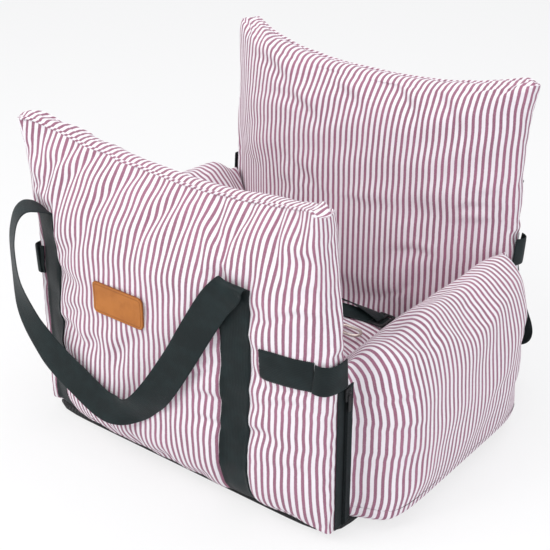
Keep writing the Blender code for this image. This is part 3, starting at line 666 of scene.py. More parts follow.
@dataclass(frozen=True)
class Moulded:
    """A moulded plastic or board with a fine grain."""

    name: str
    colour: tuple
    roughness: float

    def build(self) -> bpy.types.Material:
        """Fine noise as grain in colour, roughness and bump."""
        g = Graph(self.name)
        place = g.place()
        grain = g.noise(place, 700.0, 4.0)
        colour = g.blend(grain.band(0.3, 0.8) * 0.5, self.colour, shaded(self.colour, 1.5))
        return g.finish(colour, grain * 0.15 + self.roughness, g.bump(grain, 0.00006))


class Wardrobe:
    """All finishes, built once."""

    def __init__(self) -> None:
        """Builds a material for each slot."""
        made = {Coat.TICKING: Ticking(), Coat.WEBBING: Webbing(), Coat.NON_SLIP: NonSlip(),
                Coat.ZIP_TAPE: WovenTape(), Coat.LEATHER: Leather(), Coat.NICKEL: Metal(),
                Coat.ZIP_METAL: Metal("black_enamel", (0.012, 0.013, 0.014, 1.0), 0.3, 0.42),
                Coat.PLASTIC: Moulded("black_plastic", (0.011, 0.013, 0.014, 1.0), 0.32),
                Coat.BOARD: Moulded("base_board", (0.30, 0.30, 0.28, 1.0), 0.6)}
        self.materials = {coat: finish.build() for coat, finish in made.items()}

    def cover(self, piece: bpy.types.Object, coat: Coat) -> None:
        """Gives a piece one finish in place of those that it has."""
        piece.data.materials.clear()
        piece.data.materials.append(self.materials[coat])

    def dress(self, piece: bpy.types.Object, coat: Coat, body: str, nodes: tuple[str, ...] = ()) -> None:
        """Gives a piece its material, its body and the nodes that it stands for.

        Args:
            piece: the piece.
            coat: its slot.
            body: the body that it rides on.
            nodes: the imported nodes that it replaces.
        """
        self.cover(piece, coat)
        if nodes:
            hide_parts(*nodes)
        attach(piece, body)
        LOG.info("%s on %s, %d faces", piece.name, body, len(piece.data.polygons))


@dataclass(frozen=True)
class Inflation:
    """Stuffs a sewn cover: a cloth simulation with pressure inside and a little spare cloth."""

    pressure: float = 4.0
    spare_cloth: float = 0.035
    bending: float = 0.35
    frames: int = 20
    cap: float = 0.010

    def settle(self, mesh: bpy.types.Mesh) -> None:
        """Runs the simulation and moves the mesh's places by what it gives, up to the cap.

        A place moves by cap * freedom * tanh(d / (cap * freedom)) along its simulated way d. The
        attribute "held" pins places, and "freedom" is each place's share of the cap.

        Args:
            mesh: the sewn cover, changed in place.
        """
        start = mesh_places(mesh)
        held = mark_values(mesh, "held")
        piece = add_object("stuffing_run", mesh)
        group = piece.vertex_groups.new(name="held")
        group.add(np.flatnonzero(held > 0.5).tolist(), 1.0, "REPLACE")
        cloth = piece.modifiers.new("inflation", "CLOTH")
        wanted = {"quality": 5, "mass": 0.25, "tension_stiffness": 14.0, "compression_stiffness": 14.0,
                  "shear_stiffness": 6.0, "bending_stiffness": self.bending, "use_pressure": True,
                  "uniform_pressure_force": self.pressure, "shrink_min": -self.spare_cloth,
                  "vertex_group_mass": "held"}
        for key, value in wanted.items():
            setattr(cloth.settings, key, value)
        cloth.settings.effector_weights.gravity = 0.0
        cloth.collision_settings.use_collision = False
        cloth.collision_settings.use_self_collision = False
        cloth.point_cache.frame_start, cloth.point_cache.frame_end = 1, self.frames
        scene = bpy.context.scene
        for step in range(1, self.frames + 1):
            scene.frame_set(step)
        moved = mesh_places(piece.evaluated_get(bpy.context.evaluated_depsgraph_get()).data)
        bpy.data.objects.remove(piece, do_unlink=True)
        scene.frame_set(1)
        way = moved - start
        length = np.linalg.norm(way, axis=1)
        reach = np.maximum(self.cap * mark_values(mesh, "freedom"), 1e-7)
        share = np.where(length > NEAR, reach * np.tanh(length / reach) / np.maximum(length, NEAR), 0.0)
        places = start + way * (share * (held < 0.5))[:, None]
        mesh.vertices.foreach_set("co", places.astype(np.float32).ravel())
        mesh.update()
        LOG.info("%s stuffed: mean move %.1f mm", mesh.name, float(length.mean()) * 1000)


def ripple(u: Array, v: Array, seed: int, depth: float) -> Array:
    """A small seeded unevenness: a sum of eight sine waves of 35 to 110 mm in random directions.

    Args:
        u: first flat place.
        v: second flat place.
        seed: the draw's seed.
        depth: the usual height.

    Returns:
        The height at each place.
    """
    draw = np.random.default_rng(seed)
    length = draw.uniform(0.035, 0.110, 8)
    angle = draw.uniform(0.0, np.pi, 8)
    phase = draw.uniform(0.0, 2 * np.pi, 8)
    across = u[..., None] * np.cos(angle) + v[..., None] * np.sin(angle)
    waves = np.sin(2 * np.pi * across / length + phase)
    return depth * waves.sum(axis=-1) / math.sqrt(8)


@dataclass(frozen=True)
class Layout:
    """Sizes that the pillows, the bolsters and the cushion share."""

    seam_x: float = 0.2350
    tight_seam_y: float = 0.1900
    loose_seam_y: float = 0.1800
    cabin_half_width: float = 0.1260
    cabin_half_depth: float = 0.1350
    foot: float = 0.0124
    bolster_height: float = 0.254
    gap: float = 0.0004
    strap_bottom: float = 0.2035
    strap_width: float = 0.038
    zip_foot: float = 0.0135
    zip_top: float = 0.2015

    def seam_line(self, x: Array, seam_y: Array | float) -> Array:
        """How far out the slanting face between a pillow and a bolster lies, linear in |x|."""
        share = (np.abs(x) - self.cabin_half_width) / (self.seam_x - self.cabin_half_width)
        return self.cabin_half_depth + share * (seam_y - self.cabin_half_depth)


LAYOUT = Layout()


def turned(mesh: bpy.types.Mesh, facing: Facing) -> bpy.types.Mesh:
    """Turns a mesh of the local frame half a turn where it belongs to the rear."""
    if facing is Facing.REAR:
        mesh.transform(Matrix.Rotation(math.pi, 4, "Z"))
        mesh.update()
    return mesh


def stuffed(name: str, grid: dict[str, Array], inflation: Inflation,
            facing: Facing = Facing.FRONT) -> bpy.types.Object:
    """A sewn cover that is stuffed, turned into place and rounded.

    Args:
        name: its name.
        grid: its places, flat cloth places and marks.
        facing: the half of the seat that it belongs to.

    Returns:
        The cover.
    """
    mesh = grid_mesh(name, grid["places"], grid["cloth"], {"held": grid["held"], "freedom": grid["freedom"]})
    inflation.settle(mesh)
    piece = add_object(mesh.name, turned(mesh, facing))
    rounding = piece.modifiers.new("rounding", "SUBSURF")
    rounding.levels = rounding.render_levels = 1
    return piece


@dataclass(frozen=True)
class Crease:
    """A soft fold in a stuffed cover: a valley with a ridge beside it, fading out along its length."""

    across: float
    up: float
    angle: float
    length: float
    width: float
    depth: float

    def height(self, u: Array, v: Array) -> Array:
        """Height over the cover: D (0.7 ridge - valley), bell curves of n / w, times a bell of l / L.

        Args:
            u: first place on the face.
            v: second place on the face.

        Returns:
            The height at each place, below zero in the valley.
        """
        way = np.array([math.cos(self.angle), math.sin(self.angle)])
        along = (u - self.across) * way[0] + (v - self.up) * way[1]
        beside = (v - self.up) * way[0] - (u - self.across) * way[1]
        beside = beside + 0.18 * along ** 2 / self.length
        fade = np.exp(-(along / self.length) ** 2)
        valley = np.exp(-(beside / self.width) ** 2)
        ridge = np.exp(-((beside - 1.9 * self.width) / (1.4 * self.width)) ** 2)
        return self.depth * fade * (0.7 * ridge - valley)


FRONT_CREASES = tuple(Crease(*row) for row in (
    (-0.152, 0.362, 0.95, 0.038, 0.0085, 0.0036), (-0.102, 0.340, 1.00, 0.042, 0.0095, 0.0046),
    (-0.024, 0.332, 0.95, 0.042, 0.0095, 0.0046), (0.024, 0.342, 1.05, 0.034, 0.0085, 0.0038),
    (0.095, 0.352, 1.15, 0.030, 0.0080, 0.0030), (0.152, 0.364, 1.85, 0.030, 0.0070, 0.0036),
    (-0.150, 0.185, 0.55, 0.030, 0.0070, 0.0032), (-0.168, 0.160, 0.20, 0.022, 0.0060, 0.0036),
    (-0.120, 0.150, 0.75, 0.032, 0.0080, 0.0030), (-0.060, 0.165, 0.95, 0.034, 0.0080, 0.0026),
    (0.074, 0.150, 0.10, 0.020, 0.0055, 0.0040), (0.078, 0.118, -0.15, 0.018, 0.0050, 0.0036),
    (0.066, 0.182, 0.30, 0.018, 0.0050, 0.0030), (0.196, 0.292, 0.12, 0.020, 0.0042, 0.0055),
    (0.150, 0.128, 0.05, 0.022, 0.0050, 0.0028), (0.190, 0.180, 0.10, 0.024, 0.0050, 0.0030),
    (0.200, 0.095, -0.10, 0.022, 0.0055, 0.0026)))
BACK_CREASES = tuple(Crease(*row) for row in (
    (0.130, 0.405, 0.35, 0.040, 0.0075, 0.0046), (0.085, 0.372, 0.22, 0.042, 0.0070, 0.0042),
    (0.010, 0.398, 0.30, 0.036, 0.0075, 0.0034), (-0.080, 0.408, 0.60, 0.036, 0.0075, 0.0036),
    (-0.150, 0.402, 0.85, 0.030, 0.0070, 0.0034), (-0.188, 0.285, -0.25, 0.018, 0.0042, 0.0050),
    (-0.196, 0.262, -0.20, 0.017, 0.0040, 0.0052), (-0.206, 0.305, -0.35, 0.015, 0.0038, 0.0040),
    (-0.176, 0.240, -0.10, 0.022, 0.0045, 0.0040), (-0.120, 0.205, 0.05, 0.030, 0.0060, 0.0030),
    (0.060, 0.270, 0.60, 0.045, 0.0100, 0.0026), (-0.040, 0.250, -0.50, 0.045, 0.0100, 0.0024)))
BOLSTER_CREASES = tuple(Crease(*row) for row in (
    (-0.146, 0.150, 0.10, 0.026, 0.0045, 0.0017), (-0.142, 0.112, -0.10, 0.024, 0.0045, 0.0015),
    (-0.146, 0.070, 0.05, 0.024, 0.0045, 0.0013), (-0.115, 0.188, 0.55, 0.030, 0.0065, 0.0019),
    (-0.070, 0.200, 0.35, 0.030, 0.0070, 0.0018), (0.020, 0.205, 0.20, 0.034, 0.0080, 0.0014),
    (0.105, 0.190, -0.45, 0.030, 0.0070, 0.0017), (0.138, 0.130, -0.10, 0.024, 0.0045, 0.0015),
    (0.060, 0.070, 0.30, 0.040, 0.0090, 0.0013)))


@dataclass
class TallPillow:
    """A tall pillow: its sewn cover with a piped seam, worked out in the local front frame."""

    facing: Facing
    corner_height: float
    seed: int
    wardrobe: Wardrobe
    flares: tuple[float, float, float] = (-0.0100, 0.0090, 0.0120)
    top_sag: float = 0.030
    roll_shift: float = 0.012
    thickness: float = 0.101
    middle: float = 0.185
    edge: float = 0.026
    dome: float = 0.0085
    side_draw: float = 0.005
    roll: float = 0.105
    foot_roll: float = 0.013
    belly: float = 0.006
    corner_radius: float = 0.012
    cell: float = 0.0052
    uprights: tuple[float, float] = (-0.203, 0.112)
    upright_top: float = 0.304
    upright_press: float = 0.004
    piping_radius: float = 0.0017
    tip_dip: float = 0.006
    lean_over: float = 0.018
    foot_thinning: float = 0.22
    unevenness: float = 0.0011
    inflation: Inflation = field(default_factory=lambda: Inflation(cap=0.006))

    def rolled(self, below_top: Array) -> Array:
        """How far the faces have rolled over to the top seam: (1 - h / roll)^1.9 of the height h below it."""
        return np.clip(1 - below_top / self.roll, 0, 1) ** 1.9

    def face_depth(self, s: Array, t: Array, rolled: Array) -> Array:
        """Half the thickness without its belly: a flat lens that closes to the top seam.

        It is edge/2 + (1 - s^4) (1 - rolled) (1 - F low^6) (T - edge)/2, with F the thinning to the foot
        and low = -t under the middle.

        Args:
            s: share across, from -1 to 1.
            t: share up, from -1 to 1.
            rolled: how far the faces have rolled over.

        Returns:
            Half the thickness.
        """
        below = 1 - self.foot_thinning * np.clip(-t, 0, 1) ** 6
        return self.edge / 2 + (1 - s ** 4) * (1 - rolled) * below * (self.thickness - self.edge) / 2

    def start_grid(self) -> dict[str, Array]:
        """The cover before it is stuffed.

        Across s and up t run from -1 to 1 over each face, and q from -1 on the outer face to 1 on the
        inner one. The middle surface bends by s^4 to the corners, and a low dome closes the top behind
        the piped seam. The ends are superellipses in q.

        Returns:
            The grid's places, flat cloth places, marks and shares.
        """
        layout = LAYOUT
        across = int(2 * layout.seam_x / self.cell)
        ends = 8
        face = np.linspace(-1.0, 1.0, across + 1)
        edge_q = -np.cos(np.linspace(0.0, np.pi, ends + 1))[1:-1]
        s = np.concatenate([face, np.ones(ends - 1), face[::-1], -np.ones(ends - 1), [-1.0]])[None, :]
        q = np.concatenate([-np.ones(across + 1), edge_q, np.ones(across + 1), -edge_q, [-1.0]])[None, :]
        rows = int(0.86 * self.corner_height / self.cell)
        upper = 0.80 + 0.20 * np.sin(np.linspace(0.0, np.pi / 2, 14))[1:]
        lid = np.cos(np.linspace(0.0, np.pi / 2, 9))[1:]
        below_lid = len(CLOSING) + rows + len(upper)
        lowest = [-1.0] * len(CLOSING)
        t = np.concatenate([lowest, np.linspace(-1.0, 0.80, rows), upper, np.ones(len(lid))])[:, None]
        close = np.concatenate([CLOSING, np.ones(rows + len(upper)), lid])[:, None]
        on_lid = np.concatenate([np.zeros(below_lid), np.ones(len(lid))])[:, None]
        top = (self.corner_height - self.top_sag * (1 - np.abs(s) ** 2.4)
               - self.tip_dip * smooth(np.abs(s), 0.955, 1.0))
        z = layout.foot + (t + 1) / 2 * (top - layout.foot)
        z = z + on_lid * self.dome * (1 - np.abs(s) ** 6) * np.sqrt(np.clip(1 - close ** 2, 0, 1)) + 0 * q
        above = np.clip((z - layout.bolster_height) / (self.corner_height - layout.bolster_height), 0, 1)
        flare = np.where(s > 0, self.flares[0] * above ** 1.5, self.flares[1] * above ** 3
                         + self.flares[2] * smooth(z, 0.235, 0.320))
        half_width = layout.seam_x - 2 * layout.gap - self.side_draw * np.sin(np.pi * above) + flare
        rolled = self.rolled(top - z) * (1 - on_lid) + on_lid
        half = self.face_depth(s, t, rolled) * close
        seam_y = np.where(s > 0, layout.tight_seam_y, layout.loose_seam_y)
        middle = self.middle + s ** 4 * (seam_y + layout.gap + self.edge / 2 - self.middle)
        free_end = smooth(z, 0.200, 0.270)
        power = 9.0 - 6.6 * free_end
        radius = np.minimum(self.corner_radius, 0.9 * half)
        nose = radius * (1 - np.clip(np.abs(q), 0, 1) ** power) ** (1 / power)
        at_end = np.abs(s) > 1 - NEAR
        x = s * (half_width - radius) + np.sign(s) * nose * at_end
        y = -middle + q * half + self.roll_shift * rolled * (1 - s ** 4)
        is_outer, is_inner = (q < -1 + NEAR) & (z > 0), (q > 1 - NEAR) & (z > 0)
        calm = close * (1 - on_lid) * (1 - s ** 8)
        bump = ripple(x, z, self.seed, self.unevenness) * calm
        belly = self.belly * np.exp(-((z - 0.075) / 0.055) ** 2) * (1 - s ** 4) * calm
        outer_creases = sum(crease.height(x, z) for crease in FRONT_CREASES)
        inner_creases = sum(crease.height(x, z) for crease in BACK_CREASES)
        under_foot = self.foot_roll * (1 - smooth(z, layout.foot - 0.012, 0.062)) ** 1.6 * (1 - s ** 8)
        y = y - np.where(is_outer, bump + belly + outer_creases * calm - under_foot, 0.0)
        y = y + np.where(is_inner, bump + inner_creases * calm * smooth(z, 0.12, 0.16), 0.0)
        press = np.zeros_like(z)
        for centre in self.uprights:
            press = np.maximum(press, (1 - smooth(np.abs(x - centre), 0.0185, 0.027))
                               * (1 - smooth(z, self.upright_top - 0.004, self.upright_top + 0.020)))
        y = y + np.where(is_outer, press * self.upright_press, 0.0)
        slack = self.lean_over * smooth(z, layout.bolster_height - 0.002, layout.bolster_height + 0.045)
        wall = np.maximum(layout.seam_line(x, seam_y), layout.cabin_half_depth)
        y = np.minimum(y, -wall - layout.gap + slack)
        tape = at_end & (q > -0.05) & (z < layout.zip_top + 0.006)
        seam = at_end & (np.abs(q + 1) < NEAR) & (z > layout.bolster_height - 0.004)
        touching = is_inner & ((z < 0.112) | ((np.abs(x) > 0.120) & (z < layout.bolster_height - 0.004)))
        under = is_outer & (press > 0.98)
        fixed_rows = (close < 1) & (on_lid < 1) | (np.abs(t - 1) < NEAR) & (on_lid < 1) & (q < -1 + NEAR)
        held = tape | seam | touching | under | fixed_rows
        inner_free = np.maximum(smooth(z, layout.bolster_height, 0.300),
                                (1 - smooth(np.abs(x), 0.095, 0.120)) * smooth(z, 0.112, 0.150))
        freedom = np.where(is_inner, inner_free, 1.0) * smooth(z, layout.foot, 0.030)
        places = np.stack([x, y, z], axis=-1)
        steps = np.linalg.norm(np.diff(places, axis=1), axis=2)
        u = np.concatenate([np.zeros((len(places), 1)), np.cumsum(steps, axis=1)], axis=1)
        outer_middle, inner_first = across // 2, across + ends
        inner_middle = inner_first + across // 2
        spare = u[:, inner_middle] - u[:, outer_middle]
        spare = spare - spare[len(CLOSING) + rows // 2]
        passed = np.clip((np.arange(u.shape[1]) - across) / (inner_first - across), 0, 1)
        u = u - u[:, outer_middle:outer_middle + 1] - passed[None, :] * spare[:, None]
        v = reach_along(places[:, across // 2])
        cloth = np.stack(np.broadcast_arrays(u, v[:, None]), axis=-1)
        self.seam_row = below_lid - 1
        return {"places": places, "cloth": cloth, "held": held.astype(float) + 0 * z,
                "freedom": freedom, "s": s, "q": q}

    def piping(self) -> bpy.types.Object:
        """The piped seam along the top of the outer face, tucked in at both corners."""
        places, s, q = self.grid["places"], self.grid["s"][0], self.grid["q"][0]
        columns = np.flatnonzero(q < -1 + NEAR)[:-1]
        line = places[self.seam_row, columns[columns <= columns[0] + np.argmax(s)]]
        tuck = np.array([[-0.0015, 0.0045, -0.0035], [0.0015, 0.0045, -0.0035]])
        line = np.concatenate([line[:1] + tuck[:1], line, line[-1:] + tuck[1:]])
        line = eased(resample(line, 0.0026), 5)
        draw = np.random.default_rng(self.seed + 7)
        knots = np.arange(0, len(line) + 6, 6)
        line[:, 1] += np.interp(np.arange(len(line)), knots, draw.normal(-0.0006, 0.0005, len(knots)))
        line[:, 2] += 0.0006 + np.interp(np.arange(len(line)), knots, draw.normal(0.0, 0.0003, len(knots)))
        grid, cloth = tube_grid(line, self.piping_radius, 8, twist=0.009)
        name = f"{self.facing.value}_pillow_piping"
        return add_object(name, grid_mesh(name, grid, cloth))

    def build(self) -> bpy.types.Object:
        """Makes the cover and its piping.

        Returns:
            The cover in the local frame, for the straps that lie on it.
        """
        self.grid = self.start_grid()
        self.skin = stuffed(f"{self.facing.value}_pillow", self.grid, self.inflation)
        bpy.context.view_layer.update()
        self.seam = self.piping()
        return self.skin

    def settle_in(self) -> None:
        """Turns the finished cover and piping into place and dresses them."""
        turned(self.skin.data, self.facing)
        turned(self.seam.data, self.facing)
        body = f"{self.facing.value}_wall"
        self.wardrobe.dress(self.skin, Coat.TICKING, body, (f"{body}_cover", f"{body}_padding"))
        self.wardrobe.dress(self.seam, Coat.TICKING, body)


@dataclass
class Bolster:
    """A side bolster, worked out as the right one and turned for the left."""

    facing: Facing
    seed: int
    wardrobe: Wardrobe
    end_outline: tuple = (
        (0.2346, 0.030), (0.2346, 0.080), (0.2346, 0.130), (0.2346, 0.175), (0.2344, 0.205), (0.2290, 0.2240),
        (0.2150, 0.2080), (0.1870, 0.1780), (0.1570, 0.1450), (0.1310, 0.1170), (0.1272, 0.0900),
        (0.1272, 0.0300), (0.1310, 0.0145), (0.1430, 0.0128), (0.2180, 0.0128), (0.2310, 0.0150))
    middle_outline: tuple = (
        (0.2880, 0.030), (0.2920, 0.080), (0.2930, 0.130), (0.2895, 0.180), (0.2740, 0.2225),
        (0.2480, 0.2410), (0.2220, 0.2205), (0.1900, 0.1860), (0.1580, 0.1500), (0.1310, 0.1190),
        (0.1274, 0.0900), (0.1274, 0.0300), (0.1310, 0.0145), (0.1450, 0.0128), (0.2500, 0.0128),
        (0.2800, 0.0145))
    steps: int = 9
    swell_start: float = 0.0130
    swell_end: float = 0.0360
    crest_lift: float = 0.005
    core: tuple[float, float] = (0.185, 0.110)
    unevenness: float = 0.0012
    cell: float = 0.0052
    inflation: Inflation = field(default_factory=lambda: Inflation(spare_cloth=0.02, cap=0.005))

    def start_grid(self) -> dict[str, Array]:
        """The cover before it is stuffed.

        Its section is E + w (M - E) between the outlines of its ends and of its middle. The swell w rises
        just inside each seam and is 1 - a^8 over the length, with a from -1 to 1. The cloth's first
        place is the length along each column, from the middle row.

        Returns:
            The grid's places, flat cloth places and marks.
        """
        layout = LAYOUT
        length = layout.tight_seam_y + layout.loose_seam_y
        share = np.linspace(-1.0, 1.0, int(length / self.cell) + 1)
        a = np.concatenate([[-1.0] * len(CLOSING), share, [1.0] * len(CLOSING)])[:, None]
        close = np.concatenate([CLOSING, np.ones(len(share)), CLOSING[::-1]])[:, None]
        rough_y = -layout.tight_seam_y + (a + 1) / 2 * length
        reach = np.minimum(rough_y + layout.tight_seam_y, layout.loose_seam_y - rough_y)
        swell = smooth(reach, self.swell_start, self.swell_end) * (1 - np.abs(a) ** 8)
        end, middle = (closed_curve(np.array(outline), self.steps)
                       for outline in (self.end_outline, self.middle_outline))
        section = end[None] + swell[..., None] * (middle - end)[None]
        slope = np.gradient(section, axis=1)
        normal = unit(np.stack([slope[..., 1], -slope[..., 0]], axis=-1))
        x, z = section[..., 0], section[..., 1]
        z = z + self.crest_lift * np.exp(-((rough_y + 0.05) / 0.045) ** 2) * smooth(z, 0.170, 0.235) * swell
        core_x, core_z = self.core
        x, z = core_x + (x - core_x) * close, core_z + (z - core_z) * close
        front = -layout.seam_line(x, layout.tight_seam_y) + layout.gap
        rear = layout.seam_line(x, layout.loose_seam_y) - layout.gap
        front = np.maximum(front, -layout.tight_seam_y + layout.gap)
        rear = np.minimum(rear, layout.loose_seam_y - layout.gap)
        y = front + (a + 1) / 2 * (rear - front)
        girth = reach_along(middle)[None, :] + 0 * z
        bump = ripple(y, girth, self.seed, self.unevenness) * swell * close
        for crease in BOLSTER_CREASES:
            bump = bump + crease.height(y, girth) * close * swell
        bump = bump * smooth(z, 0.020, 0.050) * np.where(normal[..., 0] < -0.5, smooth(z, 0.120, 0.150), 1.0)
        x, z = x + bump * normal[..., 0], z + bump * normal[..., 1]
        distance = np.minimum(y - front, rear - y)
        tape = (normal[..., 0] > 0.80) & (distance < 0.0165) & (z < layout.zip_top + 0.006)
        touching = (normal[..., 0] < -0.8) & (z < 0.108)
        held = tape | touching | (close < 1) | (distance < 1e-4) | (z < layout.foot + 0.004)
        freedom = smooth(distance, 0.002, 0.035) * smooth(z, layout.foot + 0.004, 0.075)
        freedom = freedom * np.where(normal[..., 0] < 0, smooth(z, 0.105, 0.150), 1.0)
        places = np.stack([x, y, z], axis=-1)
        along = np.cumsum(np.linalg.norm(np.diff(places, axis=0, prepend=places[:1]), axis=2), axis=0)
        along = along - along[len(a) // 2]
        return {"places": places, "cloth": np.stack([along, girth], axis=-1),
                "held": held.astype(float) + 0 * z, "freedom": freedom + 0 * z}

    def build(self) -> None:
        """Makes, stuffs, turns and dresses the bolster."""
        side = "right" if self.facing is Facing.FRONT else "left"
        piece = stuffed(f"{side}_bolster_pad", self.start_grid(), self.inflation, self.facing)
        self.wardrobe.dress(piece, Coat.TICKING, f"{side}_bolster",
                            (f"{side}_bolster_cover", f"{side}_bolster_padding"))


@dataclass
class SeatCushion:
    """The seat cushion between the four walls."""

    wardrobe: Wardrobe
    half_width: float = 0.1226
    half_depth: float = 0.1338
    edge_height: float = 0.096
    crown: float = 0.015
    seed: int = 31
    unevenness: float = 0.0010
    corner_power: int = 9
    inflation: Inflation = field(default_factory=lambda: Inflation(spare_cloth=0.03, cap=0.004))

    def start_grid(self) -> dict[str, Array]:
        """Loops around a rounded rectangle, from the middle of the underside up to the middle of the top.

        A loop is k times the superellipse |x|^9 + |y|^9 = 1, and the top is the edge height plus
        crown (1 - x^4)(1 - y^4).

        Returns:
            The grid's places, flat cloth places and marks.
        """
        corner = np.linspace(-1.0, 1.0, 46)[:-1]
        square_x = np.concatenate([corner, np.ones(45), -corner, -np.ones(45), [-1.0]])
        square_y = np.concatenate([-np.ones(45), corner, np.ones(45), -corner, [-1.0]])
        power = self.corner_power
        scale = (np.abs(square_x) ** power + np.abs(square_y) ** power) ** (-1 / power)
        px, py = (square_x * scale)[None, :], (square_y * scale)[None, :]
        under, wall, over = np.linspace(0, 1, 12), np.linspace(0, 1, 16)[1:-1], np.linspace(1, 0, 26)
        k = np.concatenate([under, np.ones(len(wall)), over])[:, None]
        rise = np.concatenate([np.zeros(12), wall, np.ones(26)])[:, None]
        draw = 1 - 0.045 * (1 - np.sin(np.pi * np.clip(rise, 0, 1)) ** 0.6)
        x = k * px * self.half_width * draw
        y = k * py * self.half_depth * draw
        nx, ny = np.clip(x / self.half_width, -1, 1), np.clip(y / self.half_depth, -1, 1)
        top = self.edge_height + self.crown * (1 - nx ** 4) * (1 - ny ** 4)
        inside = 1 - np.maximum(np.abs(nx), np.abs(ny))
        top = top + ripple(x, y, self.seed, self.unevenness) * smooth(inside, 0.0, 0.2)
        z = LAYOUT.foot + rise * (top - LAYOUT.foot)
        on_top = rise > 1 - NEAR
        held = np.where(on_top & (inside > 0.03), 0.0, 1.0)
        freedom = np.where(on_top, smooth(inside, 0.02, 0.15), 0.0)
        run = y + np.sign(py) * (top - z) * smooth(np.abs(py), 0.94, 1.0)
        return {"places": np.stack([x, y, z], axis=-1), "cloth": np.stack([run, x + 0 * y], axis=-1),
                "held": held + 0 * z, "freedom": freedom + 0 * z}

    def build(self) -> bpy.types.Object:
        """Makes, stuffs and dresses the cushion.

        Returns:
            The cushion, for the tether that lies on it.
        """
        piece = stuffed("seat_pad", self.start_grid(), self.inflation)
        self.wardrobe.dress(piece, Coat.TICKING, "base", ("seat_cushion_cover", "seat_cushion_padding"))
        return piece


def laid_on(name: str, points: Array, cloth: Array, target: bpy.types.Object, axis: str, forward: bool,
            lift: float, thickness: float) -> bpy.types.Object:
    """A thin strip laid on a stuffed cover: projected on to it along an axis, then given its thickness.

    Args:
        name: the piece's name.
        points: the strip's places before it is laid, rows by columns by 3.
        cloth: its flat cloth places.
        target: the cover that it lies on.
        axis: the axis along which it is laid, "x", "y" or "z".
        forward: whether it moves along the axis, and not against it.
        lift: its distance from the cover.
        thickness: the strip's thickness.

    Returns:
        The strip, with its modifiers in its mesh.
    """
    piece = add_object(name, grid_mesh(name, points, cloth, closed=False))
    wrap = piece.modifiers.new("laid", "SHRINKWRAP")
    wrap.target = target
    wrap.wrap_method = "PROJECT"
    wrap.use_project_x, wrap.use_project_y, wrap.use_project_z = (axis == way for way in "xyz")
    wrap.use_positive_direction, wrap.use_negative_direction = forward, not forward
    wrap.offset = lift
    baked(piece)
    piece.data.shade_smooth()
    thickened(piece, thickness)
    return piece


LOOP_RIGHT = (
    (0.1120, -0.2302, 0.2880, 1.00, 0.00, 0.00),
    (0.1120, -0.2306, 0.3000, 1.00, 0.00, 0.00),
    (0.1120, -0.2330, 0.3065, 1.00, 0.00, 0.00),
    (0.1110, -0.2375, 0.3070, 0.99, 0.02, -0.06),
    (0.1080, -0.2405, 0.3005, 0.96, 0.08, -0.18),
    (0.1010, -0.2420, 0.2920, 0.92, 0.12, -0.33),
    (0.0890, -0.2432, 0.2760, 0.87, 0.18, -0.45),
    (0.0665, -0.2455, 0.2380, 0.86, 0.18, -0.46),
    (0.0400, -0.2510, 0.1890, 0.88, 0.12, -0.45),
    (0.0120, -0.2560, 0.1430, 0.72, 0.25, -0.65),
    (-0.0100, -0.2570, 0.1160, 0.25, 0.45, -0.85),
    (-0.0310, -0.2560, 0.0985, -0.22, 0.30, -0.93),
    (-0.0560, -0.2580, 0.0895, -0.27, -0.10, -0.96),
    (-0.0830, -0.2580, 0.0890, -0.27, -0.28, -0.92))
LOOP_LEFT_FRONT = (
    (-0.1265, -0.2555, 0.1050, -0.36, -0.32, -0.87),
    (-0.1680, -0.2515, 0.1205, -0.55, -0.25, -0.78),
    (-0.1920, -0.2485, 0.1350, -0.62, -0.14, -0.76),
    (-0.2120, -0.2480, 0.1560, -0.68, 0.02, -0.72),
    (-0.2235, -0.2500, 0.1870, -0.68, 0.22, -0.62),
    (-0.2305, -0.2500, 0.2180, -0.74, 0.42, -0.40),
    (-0.2320, -0.2500, 0.2550, -0.82, 0.52, -0.15),
    (-0.2280, -0.2500, 0.2800, -0.82, 0.55, -0.05),
    (-0.2240, -0.2455, 0.3000, -0.81, 0.57, 0.00),
    (-0.2180, -0.2370, 0.3100, -0.81, 0.57, 0.00),
    (-0.2100, -0.2270, 0.3095, -0.85, 0.50, 0.00),
    (-0.2045, -0.2180, 0.3045, -0.92, 0.36, 0.00),
    (-0.2030, -0.2142, 0.2970, -0.96, 0.28, 0.00),
    (-0.2030, -0.2130, 0.2870, -0.96, 0.28, 0.00))
LOOP_LEFT_REAR = (
    (-0.1265, -0.2560, 0.0800, -0.36, -0.32, -0.87),
    (-0.1700, -0.2530, 0.0690, -0.22, -0.20, -0.95),
    (-0.2040, -0.2480, 0.0660, -0.48, -0.05, -0.87),
    (-0.2270, -0.2430, 0.0760, -0.78, 0.12, -0.60),
    (-0.2310, -0.2400, 0.0960, -0.90, 0.28, -0.30),
    (-0.2200, -0.2350, 0.1300, -0.93, 0.34, 0.00),
    (-0.2080, -0.2300, 0.1800, -0.93, 0.35, 0.10),
    (-0.2035, -0.2290, 0.2350, -0.93, 0.35, 0.06),
    (-0.2030, -0.2285, 0.2780, -0.93, 0.35, 0.00),
    (-0.2030, -0.2265, 0.2990, -0.94, 0.34, 0.00),
    (-0.2030, -0.2225, 0.3070, -0.95, 0.31, 0.00),
    (-0.2030, -0.2165, 0.3045, -0.96, 0.28, 0.00),
    (-0.2030, -0.2138, 0.2960, -0.96, 0.28, 0.00),
    (-0.2030, -0.2130, 0.2870, -0.96, 0.28, 0.00))


